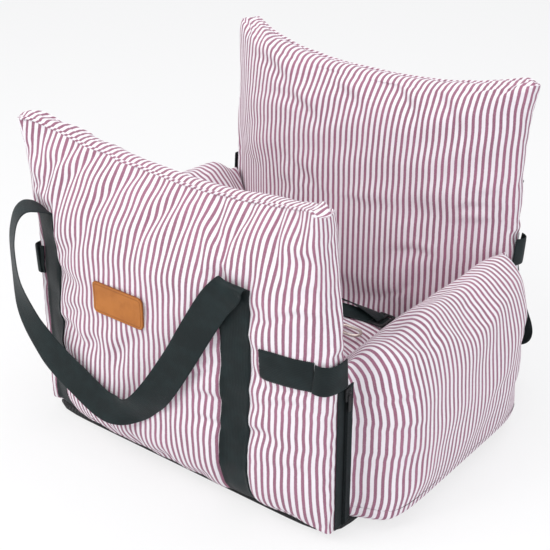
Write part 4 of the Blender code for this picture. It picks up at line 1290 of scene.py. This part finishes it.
@dataclass
class Handle:
    """A handle: two uprights sewn down the tall pillow and the loop that hangs between them."""

    facing: Facing
    wardrobe: Wardrobe
    skin: bpy.types.Object
    width: float = 0.040
    thickness: float = 0.0017
    left: float = -0.203
    right: float = 0.112
    top: float = 0.304
    lift: float = 0.0011

    def upright(self, centre: float, side: str) -> None:
        """One upright: a strip of webbing from the pillow's foot to the handle's fold.

        Args:
            centre: its middle.
            side: "left" or "right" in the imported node's name.
        """
        name = f"{self.facing.value}_handle_strip_{side}"
        z = np.linspace(0.0170, self.top, 76)[:, None]
        x = centre + np.linspace(-self.width / 2, self.width / 2, 13)[None, :]
        places = np.stack(np.broadcast_arrays(x, LAY_FROM_Y, z), axis=-1)
        cloth = np.stack(np.broadcast_arrays(x - centre, z), axis=-1)
        piece = laid_on(name, places, cloth, self.skin, "y", True, self.lift, self.thickness)
        turned(piece.data, self.facing)
        self.wardrobe.dress(piece, Coat.WEBBING, f"{self.facing.value}_wall",
                            (f"{self.facing.value}_handle_upright_{side}",))

    def loop(self) -> None:
        """The hanging loop: a flat band through control places, each with its direction across."""
        left = LOOP_LEFT_FRONT if self.facing is Facing.FRONT else LOOP_LEFT_REAR
        control = np.array(LOOP_RIGHT + left)
        line = curve_through(control, 0.0022)
        places, cloth = band_grid(line[:, :3], line[:, 3:6], self.width, self.thickness, across=12)
        name = f"{self.facing.value}_handle_loop"
        piece = add_object(name, turned(grid_mesh(name, places, cloth), self.facing))
        body = f"{self.facing.value}_handle"
        self.wardrobe.dress(piece, Coat.WEBBING, body, (body,))

    def build(self) -> None:
        """Makes both uprights and the loop."""
        tight, loose = self.facing.sides
        self.upright(self.left, loose)
        self.upright(self.right, tight)
        self.loop()


@dataclass
class CornerStrap:
    """A corner strap: a pinked patch sewn to the pillow and a free end round the corner."""

    facing: Facing
    tight: bool
    wardrobe: Wardrobe
    skin: bpy.types.Object
    thickness: float = 0.0018
    tooth: float = 0.0022
    lift: float = 0.0012
    tight_reach: tuple[float, float] = (0.150, 0.2160)
    loose_reach: tuple[float, float] = (-0.2255, -0.2310)
    tight_bulge: tuple[float, float] = (0.2390, -0.2265)
    loose_bulge: tuple[float, float] = (-0.2500, -0.2060)

    @property
    def corner(self) -> str:
        """The corner's name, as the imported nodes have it."""
        tight, loose = self.facing.sides
        return f"{self.facing.value}_{tight if self.tight else loose}"

    def patch(self) -> Array:
        """The sewn part, with zigzag edges of one tooth each pitch.

        Returns:
            The place on the pillow where the free end starts, seen from above.
        """
        layout = LAYOUT
        start, end = self.tight_reach if self.tight else self.loose_reach
        count = int(abs(end - start) / (self.tooth / 4)) + 1
        x = np.linspace(start, end, count)[None, :]
        up = np.linspace(-1.0, 1.0, 13)[:, None]
        middle = layout.strap_bottom + layout.strap_width / 2
        zigzag = np.abs(((x - start) / self.tooth) % 1.0 - 0.5) * self.tooth * 0.55
        z = middle + up * (layout.strap_width / 2 - zigzag * (np.abs(up) > 0.99)) + 0 * x
        comb = np.abs((up * layout.strap_width / 2 / self.tooth) % 1.0 - 0.5) * self.tooth * 0.55
        x_full = x + np.where(np.arange(count)[None, :] == 0, comb, 0.0) * np.sign(end - start)
        places = np.stack(np.broadcast_arrays(x_full, LAY_FROM_Y, z), axis=-1)
        cloth = np.stack(np.broadcast_arrays(z - middle, x_full), axis=-1)
        name = f"{self.corner}_strap_sewn_end"
        piece = laid_on(name, places, cloth, self.skin, "y", True, self.lift, self.thickness)
        points = mesh_places(piece.data)
        far = points[np.abs(points[:, 0] - end) < 0.0004]
        edge = np.array([end, far[:, 1].mean() if len(far) else -0.2, middle])
        turned(piece.data, self.facing)
        self.wardrobe.dress(piece, Coat.WEBBING, f"{self.facing.value}_wall", (f"{self.corner}_strap_patch",))
        return edge

    def free_end(self, edge: Array) -> None:
        """The free end: a band along a quadratic curve that bulges round the corner to the seam.

        Args:
            edge: where it leaves the patch.
        """
        layout = LAYOUT
        side = 1.0 if self.tight else -1.0
        seam_y = layout.tight_seam_y if self.tight else layout.loose_seam_y
        start = np.array([edge[0] + side * 0.0011, edge[1] - 0.0016])
        finish = np.array([side * (layout.seam_x + 0.0032), -(seam_y + 0.0022)])
        corner = np.array(self.tight_bulge if self.tight else self.loose_bulge)
        share = np.linspace(0.0, 1.0, 26)[:, None]
        plan = (1 - share) ** 2 * start + 2 * share * (1 - share) * corner + share ** 2 * finish
        sag = -0.0015 * np.sin(np.pi * share)
        path = np.concatenate([plan, edge[2] + sag], axis=1)
        lean = np.concatenate([0.06 * np.sin(np.pi * share) * side, 0 * share, np.ones_like(share)], axis=1)
        places, cloth = band_grid(path, lean, layout.strap_width, self.thickness, across=10)
        name = f"{self.corner}_strap_free_end"
        piece = add_object(name, turned(grid_mesh(name, places, cloth), self.facing))
        self.wardrobe.dress(piece, Coat.WEBBING, f"{self.corner}_strap", (f"{self.corner}_strap_flap",))

    def build(self) -> None:
        """Makes both parts."""
        self.free_end(self.patch())


@dataclass
class ZipHalves:
    """The two halves of a corner zip: woven tapes, each with a coil of nylon along its edge."""

    facing: Facing
    tight: bool
    wardrobe: Wardrobe
    width: float = 0.015
    thickness: float = 0.0010
    coil_radius: float = 0.00105
    wire_radius: float = 0.00036
    pitch: float = 0.00125

    def half(self, name: str, away: float, body: str, node: str) -> None:
        """One half: a tape and its coil.

        Args:
            name: the piece's name.
            away: -1 where the tape lies on the pillow's side of the seam, 1 on the bolster's.
            body: its body.
            node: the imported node.
        """
        layout = LAYOUT
        seam_y = -(layout.tight_seam_y if self.tight else layout.loose_seam_y)
        side = 1.0 if self.tight else -1.0
        z = np.linspace(layout.zip_foot, layout.zip_top, 60)
        x = side * (layout.seam_x + 0.0004)
        y = seam_y + away * (self.width / 2 + layout.gap)
        path = np.stack([np.full_like(z, x), np.full_like(z, y), z], axis=1)
        widthways = np.tile([0.0, 1.0, 0.0], (len(z), 1))
        places, cloth = band_grid(path, widthways, self.width, self.thickness, across=6)
        tape = grid_mesh(name, places, cloth)
        turns = (layout.zip_top - layout.zip_foot - 0.002) / self.pitch
        angle = np.linspace(0.0, 2 * np.pi * turns, int(turns * 8))
        centre_y = seam_y + away * (layout.gap + self.coil_radius)
        coil = np.stack([x + side * (self.thickness / 2 + self.coil_radius * (1 + 0.8 * np.cos(angle))),
                         centre_y + self.coil_radius * np.sin(angle),
                         layout.zip_foot + 0.001 + self.pitch * angle / (2 * np.pi)], axis=1)
        wound, wound_cloth = tube_grid(coil, self.wire_radius, 4)
        both = bmesh.new()
        both.from_mesh(tape)
        extra = grid_mesh(name + "_coil", wound, wound_cloth)
        both.from_mesh(extra)
        both.to_mesh(tape)
        both.free()
        piece = add_object(name, turned(tape, self.facing))
        self.wardrobe.dress(piece, Coat.ZIP_TAPE, body, (node,))

    def build(self) -> None:
        """Makes the pillow's half and the bolster's half."""
        end, (tight, loose) = self.facing.value, self.facing.sides
        side = tight if self.tight else loose
        self.half(f"{end}_{side}_pillow_zip", -1.0, f"{end}_wall", f"{end}_{side}_wall_zip_tape")
        self.half(f"{end}_{side}_bolster_zip", 1.0, f"{side}_bolster", f"{end}_{side}_bolster_zip_tape")


@dataclass
class Tag:
    """The leather tag on the front pillow: blank, with a pressed border."""

    wardrobe: Wardrobe
    skin: bpy.types.Object
    width: float = 0.082
    height: float = 0.042
    thickness: float = 0.0022
    radius: float = 0.007
    centre: tuple[float, float] = (-0.058, 0.229)
    seat: float = 0.0012
    back_tone: float = 0.4

    def build(self) -> None:
        """A sheet whose height falls off at the rim and along a line 3.4 mm inside it.

        Its outline is the rounded rectangle, reached from a square grid by pulling each place to the
        distance max(|x| - a, |y| - b, corner) inside it.
        """
        columns, rows = 150, 78
        x = np.linspace(-1, 1, columns)[None, :] * self.width / 2
        z = np.linspace(-1, 1, rows)[:, None] * self.height / 2
        x, z = np.broadcast_arrays(x, z)
        cx, cz = self.width / 2 - self.radius, self.height / 2 - self.radius
        out_x, out_z = np.maximum(np.abs(x) - cx, 0), np.maximum(np.abs(z) - cz, 0)
        square = np.maximum(out_x, out_z)
        far = np.hypot(out_x, out_z)
        pull = np.where((out_x > 0) & (out_z > 0), square / np.maximum(far, NEAR), 1.0)
        x = np.sign(x) * (np.minimum(np.abs(x), cx) + out_x * pull)
        z = np.sign(z) * (np.minimum(np.abs(z), cz) + out_z * pull)
        inside = self.radius - np.hypot(np.maximum(np.abs(x) - cx, 0), np.maximum(np.abs(z) - cz, 0))
        inside = np.where((np.abs(x) <= cx) | (np.abs(z) <= cz),
                          np.minimum(self.width / 2 - np.abs(x), self.height / 2 - np.abs(z)), inside)
        groove = np.exp(-((inside - 0.0034) / 0.00035) ** 2)
        rim = 1 - smooth(inside, 0.0, 0.0011)
        depth = self.thickness - 0.00045 * groove - 0.0007 * rim ** 2
        flat = np.stack([x, z], axis=-1)
        bow = self.bow(x + self.centre[0], z + self.centre[1])
        front = np.stack([x + self.centre[0], bow - depth, z + self.centre[1]], axis=-1)
        back = np.stack([x + self.centre[0], bow, z + self.centre[1]], axis=-1)
        grid = np.concatenate([back[:, ::-1], front], axis=1)
        grid = np.concatenate([grid, grid[:, :1]], axis=1)
        cloth = np.concatenate([flat[:, ::-1], flat], axis=1)
        cloth = np.concatenate([cloth, cloth[:, :1]], axis=1)
        pressed = np.clip(groove + 0.75 * rim, 0, 1)
        pressed = np.pad(pressed, ((0, 0), (pressed.shape[1], 1)), constant_values=self.back_tone)
        lid = (grid[:1] + grid[:1, ::-1]) / 2
        tail = (grid[-1:] + grid[-1:, ::-1]) / 2
        grid = np.concatenate([lid, grid, tail])
        cloth = np.concatenate([cloth[:1], cloth, cloth[-1:]])
        pressed = np.concatenate([pressed[:1], pressed, pressed[-1:]])
        piece = add_object("tag", grid_mesh("tag", grid, cloth, {"pressed": pressed}))
        self.wardrobe.dress(piece, Coat.LEATHER, "front_wall", ("leather_tag",))

    def bow(self, x: Array, z: Array) -> Array:
        """The tag's back: a + b x + c z + d x^2 + e z^2, fitted to the pillow under the tag.

        Args:
            x: places across.
            z: places up.

        Returns:
            The forward coordinate at each place.
        """
        points = mesh_places(self.skin.evaluated_get(bpy.context.evaluated_depsgraph_get()).data)
        near = ((np.abs(points[:, 0] - self.centre[0]) < self.width / 2)
                & (np.abs(points[:, 2] - self.centre[1]) < self.height / 2) & (points[:, 1] < -0.19))
        found = points[near]
        u, v = found[:, 0], found[:, 2]
        terms = np.stack([np.ones(len(found)), u, v, u ** 2, v ** 2], axis=1)
        fit = np.linalg.lstsq(terms, found[:, 1], rcond=None)[0]
        spare = min(float((terms @ fit - found[:, 1]).max()), self.seat)
        return fit[0] + fit[1] * x + fit[2] * z + fit[3] * x ** 2 + fit[4] * z ** 2 - spare


@dataclass
class Tether:
    """The safety tether: anchor strap, adjuster, webbing and snap hook."""

    wardrobe: Wardrobe
    cushion: bpy.types.Object
    width: float = 0.025
    thickness: float = 0.0015
    cushion_half: tuple[float, float] = (0.1226, 0.1338)
    cushion_edge: float = 0.0965
    cushion_crown: float = 0.0165

    def strap(self, name: str, control: Array, nodes: tuple[str, ...], lift: float) -> None:
        """A strap that lies on the cushion.

        Args:
            name: the piece's name.
            control: rows of x, y, the height above the cushion and the roll in radians.
            nodes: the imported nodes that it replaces.
            lift: its least distance from the cushion.
        """
        line = curve_through(np.insert(control, 2, 0.0, axis=1), 0.003)
        flat = line[:, :2]
        tangent = unit(np.gradient(flat, axis=0))
        across = np.stack([-tangent[:, 1], tangent[:, 0]], axis=1)
        roll = line[:, 4]
        side = np.concatenate([across * np.cos(roll)[:, None], np.sin(roll)[:, None]], axis=1)
        nx, ny = (flat / np.array(self.cushion_half)).T
        top = self.cushion_edge + self.cushion_crown * (1 - nx ** 4) * (1 - ny ** 4)
        rise = top + lift + line[:, 3] + np.abs(np.sin(roll)) * self.width / 2
        path = np.concatenate([flat, rise[:, None]], axis=1)
        places, cloth = band_grid(path, side, self.width, self.thickness, across=8)
        piece = add_object(name, grid_mesh(name, places, cloth))
        self.wardrobe.dress(piece, Coat.WEBBING, "base", nodes)

    def build(self) -> None:
        """Makes the straps, and rounds the adjuster and the metal parts."""
        self.strap("tether_long_strap", np.array([
            [0.0955, 0.0985, 0.004, 0.15], [0.070, 0.0985, 0.004, 0.40], [0.040, 0.0990, 0.003, 0.62],
            [0.000, 0.0990, 0.002, 0.60], [-0.025, 0.0960, 0.001, 0.25], [-0.048, 0.083, 0.0, 0.0],
            [-0.053, 0.066, 0.0, 0.0], [-0.046, 0.048, 0.0, 0.0], [-0.025, 0.037, 0.0, 0.0],
            [0.005, 0.036, 0.0, 0.0], [0.030, 0.036, 0.002, 0.0], [0.0455, 0.036, 0.006, 0.0]]),
            ("tether_webbing",), 0.0022)
        self.strap("tether_return_strap", np.array([
            [0.0955, 0.0960, 0.002, 0.0], [0.070, 0.0880, 0.002, -0.15], [0.040, 0.0765, 0.003, -0.25],
            [0.010, 0.0700, 0.003, -0.10], [-0.015, 0.0660, 0.003, 0.0], [-0.028, 0.054, 0.003, 0.0],
            [-0.018, 0.041, 0.0025, 0.0], [0.005, 0.0365, 0.0024, 0.0], [0.030, 0.036, 0.004, 0.0],
            [0.0455, 0.036, 0.008, 0.0]]), (), 0.0022)
        z = np.linspace(0.030, 0.094, 20)
        rise = np.stack([np.full_like(z, 0.1243), np.full_like(z, 0.098), z], axis=1)
        over = np.array([[0.1238, 0.098, 0.100], [0.1205, 0.098, 0.1052], [0.1130, 0.098, 0.1080],
                         [0.1040, 0.098, 0.1088], [0.0950, 0.098, 0.1095]])
        line = curve_through(np.concatenate([rise[::4], over]), 0.003)
        widthways = np.tile([0.0, 1.0, 0.0], (len(line), 1))
        places, cloth = band_grid(line, widthways, self.width, self.thickness, across=8)
        anchor = add_object("tether_anchor", grid_mesh("tether_anchor", places, cloth))
        self.wardrobe.dress(anchor, Coat.WEBBING, "base", ("tether_anchor_strap",))
        for node, name, coat, body, radius in (
                ("tether_slider", "tether_adjuster", Coat.PLASTIC, "base", 0.0007),
                ("snap_hook_swivel_ring", "hook_ring", Coat.NICKEL, "base", 0.0003),
                ("snap_hook_body", "hook_body", Coat.NICKEL, "snap_hook", 0.0004),
                ("snap_hook_gate", "hook_gate", Coat.NICKEL, "snap_hook_gate", 0.0004)):
            rounded_copy(self.wardrobe, node, name, coat, body, radius)


def rounded_copy(wardrobe: Wardrobe, node: str, name: str, coat: Coat, body: str, radius: float) -> None:
    """A copy of a small rigid node with its edges rounded and its round faces smooth.

    Args:
        wardrobe: the finishes.
        node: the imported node.
        name: the new piece's name.
        coat: its slot.
        body: its body.
        radius: the edges' rounding.
    """
    mesh = bpy.data.objects[node].data.copy()
    mesh.name = name
    cage = bmesh.new()
    cage.from_mesh(mesh)
    bmesh.ops.remove_doubles(cage, verts=cage.verts, dist=1e-6)
    bmesh.ops.dissolve_limit(cage, angle_limit=math.radians(4), verts=cage.verts, edges=cage.edges)
    cage.to_mesh(mesh)
    cage.free()
    piece = add_object(name, mesh)
    bevel = piece.modifiers.new("rounded", "BEVEL")
    bevel.width = radius
    bevel.segments = 2
    bevel.limit_method = "ANGLE"
    bevel.angle_limit = math.radians(42)
    bevel.use_clamp_overlap = True
    baked(piece)
    piece.data.shade_smooth()
    piece.data.set_sharp_from_angle(angle=math.radians(40))
    wardrobe.dress(piece, coat, body, (node,))


@dataclass
class ZipSliders:
    """The four zip sliders and their pull tabs."""

    wardrobe: Wardrobe

    def build(self) -> None:
        """Rounds each slider and pull."""
        for corner in ("front_right", "front_left", "rear_left", "rear_right"):
            rounded_copy(self.wardrobe, f"{corner}_zip_slider", f"{corner}_slider", Coat.ZIP_METAL,
                         f"{corner}_zip_slider", 0.0007)
            rounded_copy(self.wardrobe, f"{corner}_zip_slider_pull", f"{corner}_pull", Coat.ZIP_METAL,
                         f"{corner}_zip_pull", 0.0003)


@dataclass
class Base:
    """The non-slip base, with a bound edge, and the four fold seams that join it to the walls."""

    wardrobe: Wardrobe
    half_width: float = 0.236
    half_depth: float = 0.209
    thickness: float = 0.012
    corner_power: float = 14.0
    seam_thickness: float = 0.0012

    def slab(self) -> None:
        """A rounded rectangle of loops from the underside's middle to the top's, with a soft rim."""
        turn = np.linspace(0, 2 * np.pi, 121)
        square = 1 / np.maximum(np.abs(np.cos(turn)), np.abs(np.sin(turn)))
        px, py = np.cos(turn) * square, np.sin(turn) * square
        power = self.corner_power
        scale = (np.abs(px) ** power + np.abs(py) ** power) ** (-1 / power)
        rim = np.linspace(-np.pi / 2, np.pi / 2, 9)
        flat = np.linspace(0, 1, 10)[:-1]
        k = np.concatenate([flat, np.ones(9), flat[::-1]])
        inset = np.concatenate([np.zeros(9), (1 - np.cos(rim)) * self.thickness / 2, np.zeros(9)])
        z = np.concatenate([np.zeros(9), self.thickness / 2 * (1 + np.sin(rim)), np.full(9, self.thickness)])
        inset[:9] = inset[-9:] = self.thickness / 2
        x = k[:, None] * px * scale * (self.half_width - inset[:, None])
        y = k[:, None] * py * scale * (self.half_depth - inset[:, None])
        places = np.stack([x, y, z[:, None] + 0 * x], axis=-1)
        cloth = np.stack([x, y], axis=-1)
        piece = add_object("base_pad", grid_mesh("base_pad", places, cloth))
        self.wardrobe.dress(piece, Coat.NON_SLIP, "base", ("base_cover",))

    def fold_seam(self, body: str, start: tuple, low: tuple, high: tuple, end: tuple) -> None:
        """A strip of cloth from the base's rim to a wall's foot.

        Args:
            body: the wall's body.
            start: its foot on the base, at one end of the strip.
            low: the same at the strip's other end.
            high: its place on the wall at that other end.
            end: its place on the wall at the first end.
        """
        first, second = np.array([start, end]), np.array([low, high])
        across = np.linspace(0, 1, 60)[:, None, None]
        up = np.linspace(0, 1, 9)[None, :, None]
        foot = first[0] + (second[0] - first[0]) * across
        head = first[1] + (second[1] - first[1]) * across
        places = foot + (head - foot) * up
        cloth = np.stack(np.broadcast_arrays(across[..., 0] * 0.3, up[..., 0] * 0.02), axis=-1)
        name = f"{body}_fold_seam"
        piece = add_object(name, grid_mesh(name, places, cloth, closed=False))
        thickened(piece, self.seam_thickness)
        self.wardrobe.cover(piece, Coat.NON_SLIP)
        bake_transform(piece)
        LOG.info("%s between base and %s", name, body)

    def build(self) -> None:
        """Makes the slab and the fold seams, and gives the board inside its finish."""
        self.slab()
        for sign, body in ((-1.0, "front_wall"), (1.0, "rear_wall")):
            self.fold_seam(body, (-0.170, sign * 0.2065, 0.006), (0.170, sign * 0.2065, 0.006),
                           (0.170, sign * 0.2125, 0.0150), (-0.170, sign * 0.2125, 0.0150))
        for sign, body in ((1.0, "right_bolster"), (-1.0, "left_bolster")):
            self.fold_seam(body, (sign * 0.2335, -0.130, 0.006), (sign * 0.2335, 0.130, 0.006),
                           (sign * 0.2395, 0.130, 0.0150), (sign * 0.2395, -0.130, 0.0150))
        self.wardrobe.cover(bpy.data.objects["base_board"], Coat.BOARD)


@dataclass
class Studio:
    """Pale floor, soft light and the camera at the photograph's angle."""

    azimuth: float = 38.0
    elevation: float = 27.2
    distance: float = 1.675
    focal_pixels: float = 1275.0
    picture: float = 550.0
    target: tuple[float, float, float] = (-0.012, 0.0, 0.185)
    lamp_target: tuple[float, float, float] = (0.0, 0.0, 0.15)

    def camera(self) -> None:
        """A camera that looks at the target from the azimuth and elevation."""
        a, e = math.radians(self.azimuth), math.radians(self.elevation)
        back = Vector((math.sin(a) * math.cos(e), -math.cos(a) * math.cos(e), math.sin(e)))
        data = bpy.data.cameras.new("camera")
        data.sensor_width = 36.0
        data.lens = self.focal_pixels / self.picture * data.sensor_width
        camera = bpy.data.objects.new("camera", data)
        camera.location = Vector(self.target) + back * self.distance
        camera.rotation_mode = "QUATERNION"
        camera.rotation_quaternion = (-back).to_track_quat("-Z", "Y")
        bpy.context.scene.collection.objects.link(camera)
        bpy.context.scene.camera = camera

    def lamp(self, name: str, place: tuple, size: float, power: float,
             colour: tuple = (1.0, 1.0, 1.0)) -> None:
        """A soft square lamp that faces the seat.

        Args:
            name: its name.
            place: where it hangs.
            size: its side.
            power: its power in watts.
            colour: its colour.
        """
        data = bpy.data.lights.new(name, "AREA")
        data.energy, data.size, data.color = power, size, colour
        lamp = bpy.data.objects.new(name, data)
        lamp.location = place
        lamp.rotation_mode = "QUATERNION"
        lamp.rotation_quaternion = (Vector(self.lamp_target) - Vector(place)).to_track_quat("-Z", "Y")
        bpy.context.scene.collection.objects.link(lamp)

    def sky(self) -> None:
        """A pale world: white to the camera and in reflections, dimmer as a light."""
        world = bpy.data.worlds.new("pale_room")
        world.use_nodes = True
        bpy.context.scene.world = world
        tree = world.node_tree
        ground = tree.nodes["Background"]
        ground.inputs["Color"].default_value = (0.96, 0.97, 1.0, 1.0)
        path = tree.nodes.new("ShaderNodeLightPath")
        seen = tree.nodes.new("ShaderNodeMath")
        seen.operation = "MAXIMUM"
        tree.links.new(path.outputs["Is Camera Ray"], seen.inputs[0])
        tree.links.new(path.outputs["Is Glossy Ray"], seen.inputs[1])
        level = tree.nodes.new("ShaderNodeMapRange")
        level.inputs["To Min"].default_value = 0.62
        level.inputs["To Max"].default_value = 1.0
        tree.links.new(seen.outputs[0], level.inputs["Value"])
        tree.links.new(level.outputs[0], ground.inputs["Strength"])

    def floor(self) -> None:
        """A wide pale floor that is partly white of itself to the camera and keeps a soft shadow."""
        edge = np.linspace(-4.0, 4.0, 9)
        x, y = np.meshgrid(edge, edge)
        places = np.stack([x, y, np.full_like(x, -0.0004)], axis=-1)
        piece = add_object("floor", grid_mesh("floor", places, np.stack([x, y], axis=-1), closed=False))
        g = Graph("pale_floor")
        g.finish((0.86, 0.86, 0.87, 1.0), 0.9)
        path = g.node("ShaderNodeLightPath", {}, {}, "Is Camera Ray")
        glow = g.node("ShaderNodeEmission", {}, {"Color": (1.0, 1.0, 1.0, 1.0), "Strength": 1.0})
        mixed = g.node("ShaderNodeMixShader", {}, [path * 0.72, Signal(g, g.shader.outputs[0]), glow])
        g.link(mixed, g.tree.nodes["Material Output"].inputs["Surface"])
        piece.data.materials.append(g.material)

    def build(self) -> None:
        """Sets up the whole studio."""
        bpy.context.scene.view_settings.view_transform = "Standard"
        self.camera()
        self.sky()
        self.floor()
        self.lamp("key", (-0.9, -1.7, 1.9), 1.5, 34.0, (1.0, 0.985, 0.97))
        self.lamp("fill", (1.9, -0.7, 1.0), 1.6, 12.0, (0.97, 0.98, 1.0))
        self.lamp("top", (0.2, 0.3, 2.2), 1.6, 14.0)


def main() -> None:
    logging.basicConfig(level=logging.INFO, format="%(name)s: %(message)s")
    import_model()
    Studio().build()
    wardrobe = Wardrobe()
    Base(wardrobe).build()
    cushion = SeatCushion(wardrobe).build()
    for facing, height, seed, flares, sag, shift in (
            (Facing.FRONT, 0.415, 11, (-0.0135, 0.0065, 0.0180), 0.036, 0.016),
            (Facing.REAR, 0.452, 23, (-0.0060, 0.0030, 0.0090), 0.030, 0.012)):
        pillow = TallPillow(facing, height, seed, wardrobe, flares, sag, shift)
        skin = pillow.build()
        Handle(facing, wardrobe, skin).build()
        for tight in (True, False):
            CornerStrap(facing, tight, wardrobe, skin).build()
            ZipHalves(facing, tight, wardrobe).build()
        if facing is Facing.FRONT:
            Tag(wardrobe, skin).build()
        pillow.settle_in()
        Bolster(facing, seed + 3, wardrobe).build()
    Tether(wardrobe, cushion).build()
    ZipSliders(wardrobe).build()


if __name__ == "__main__":
    main()
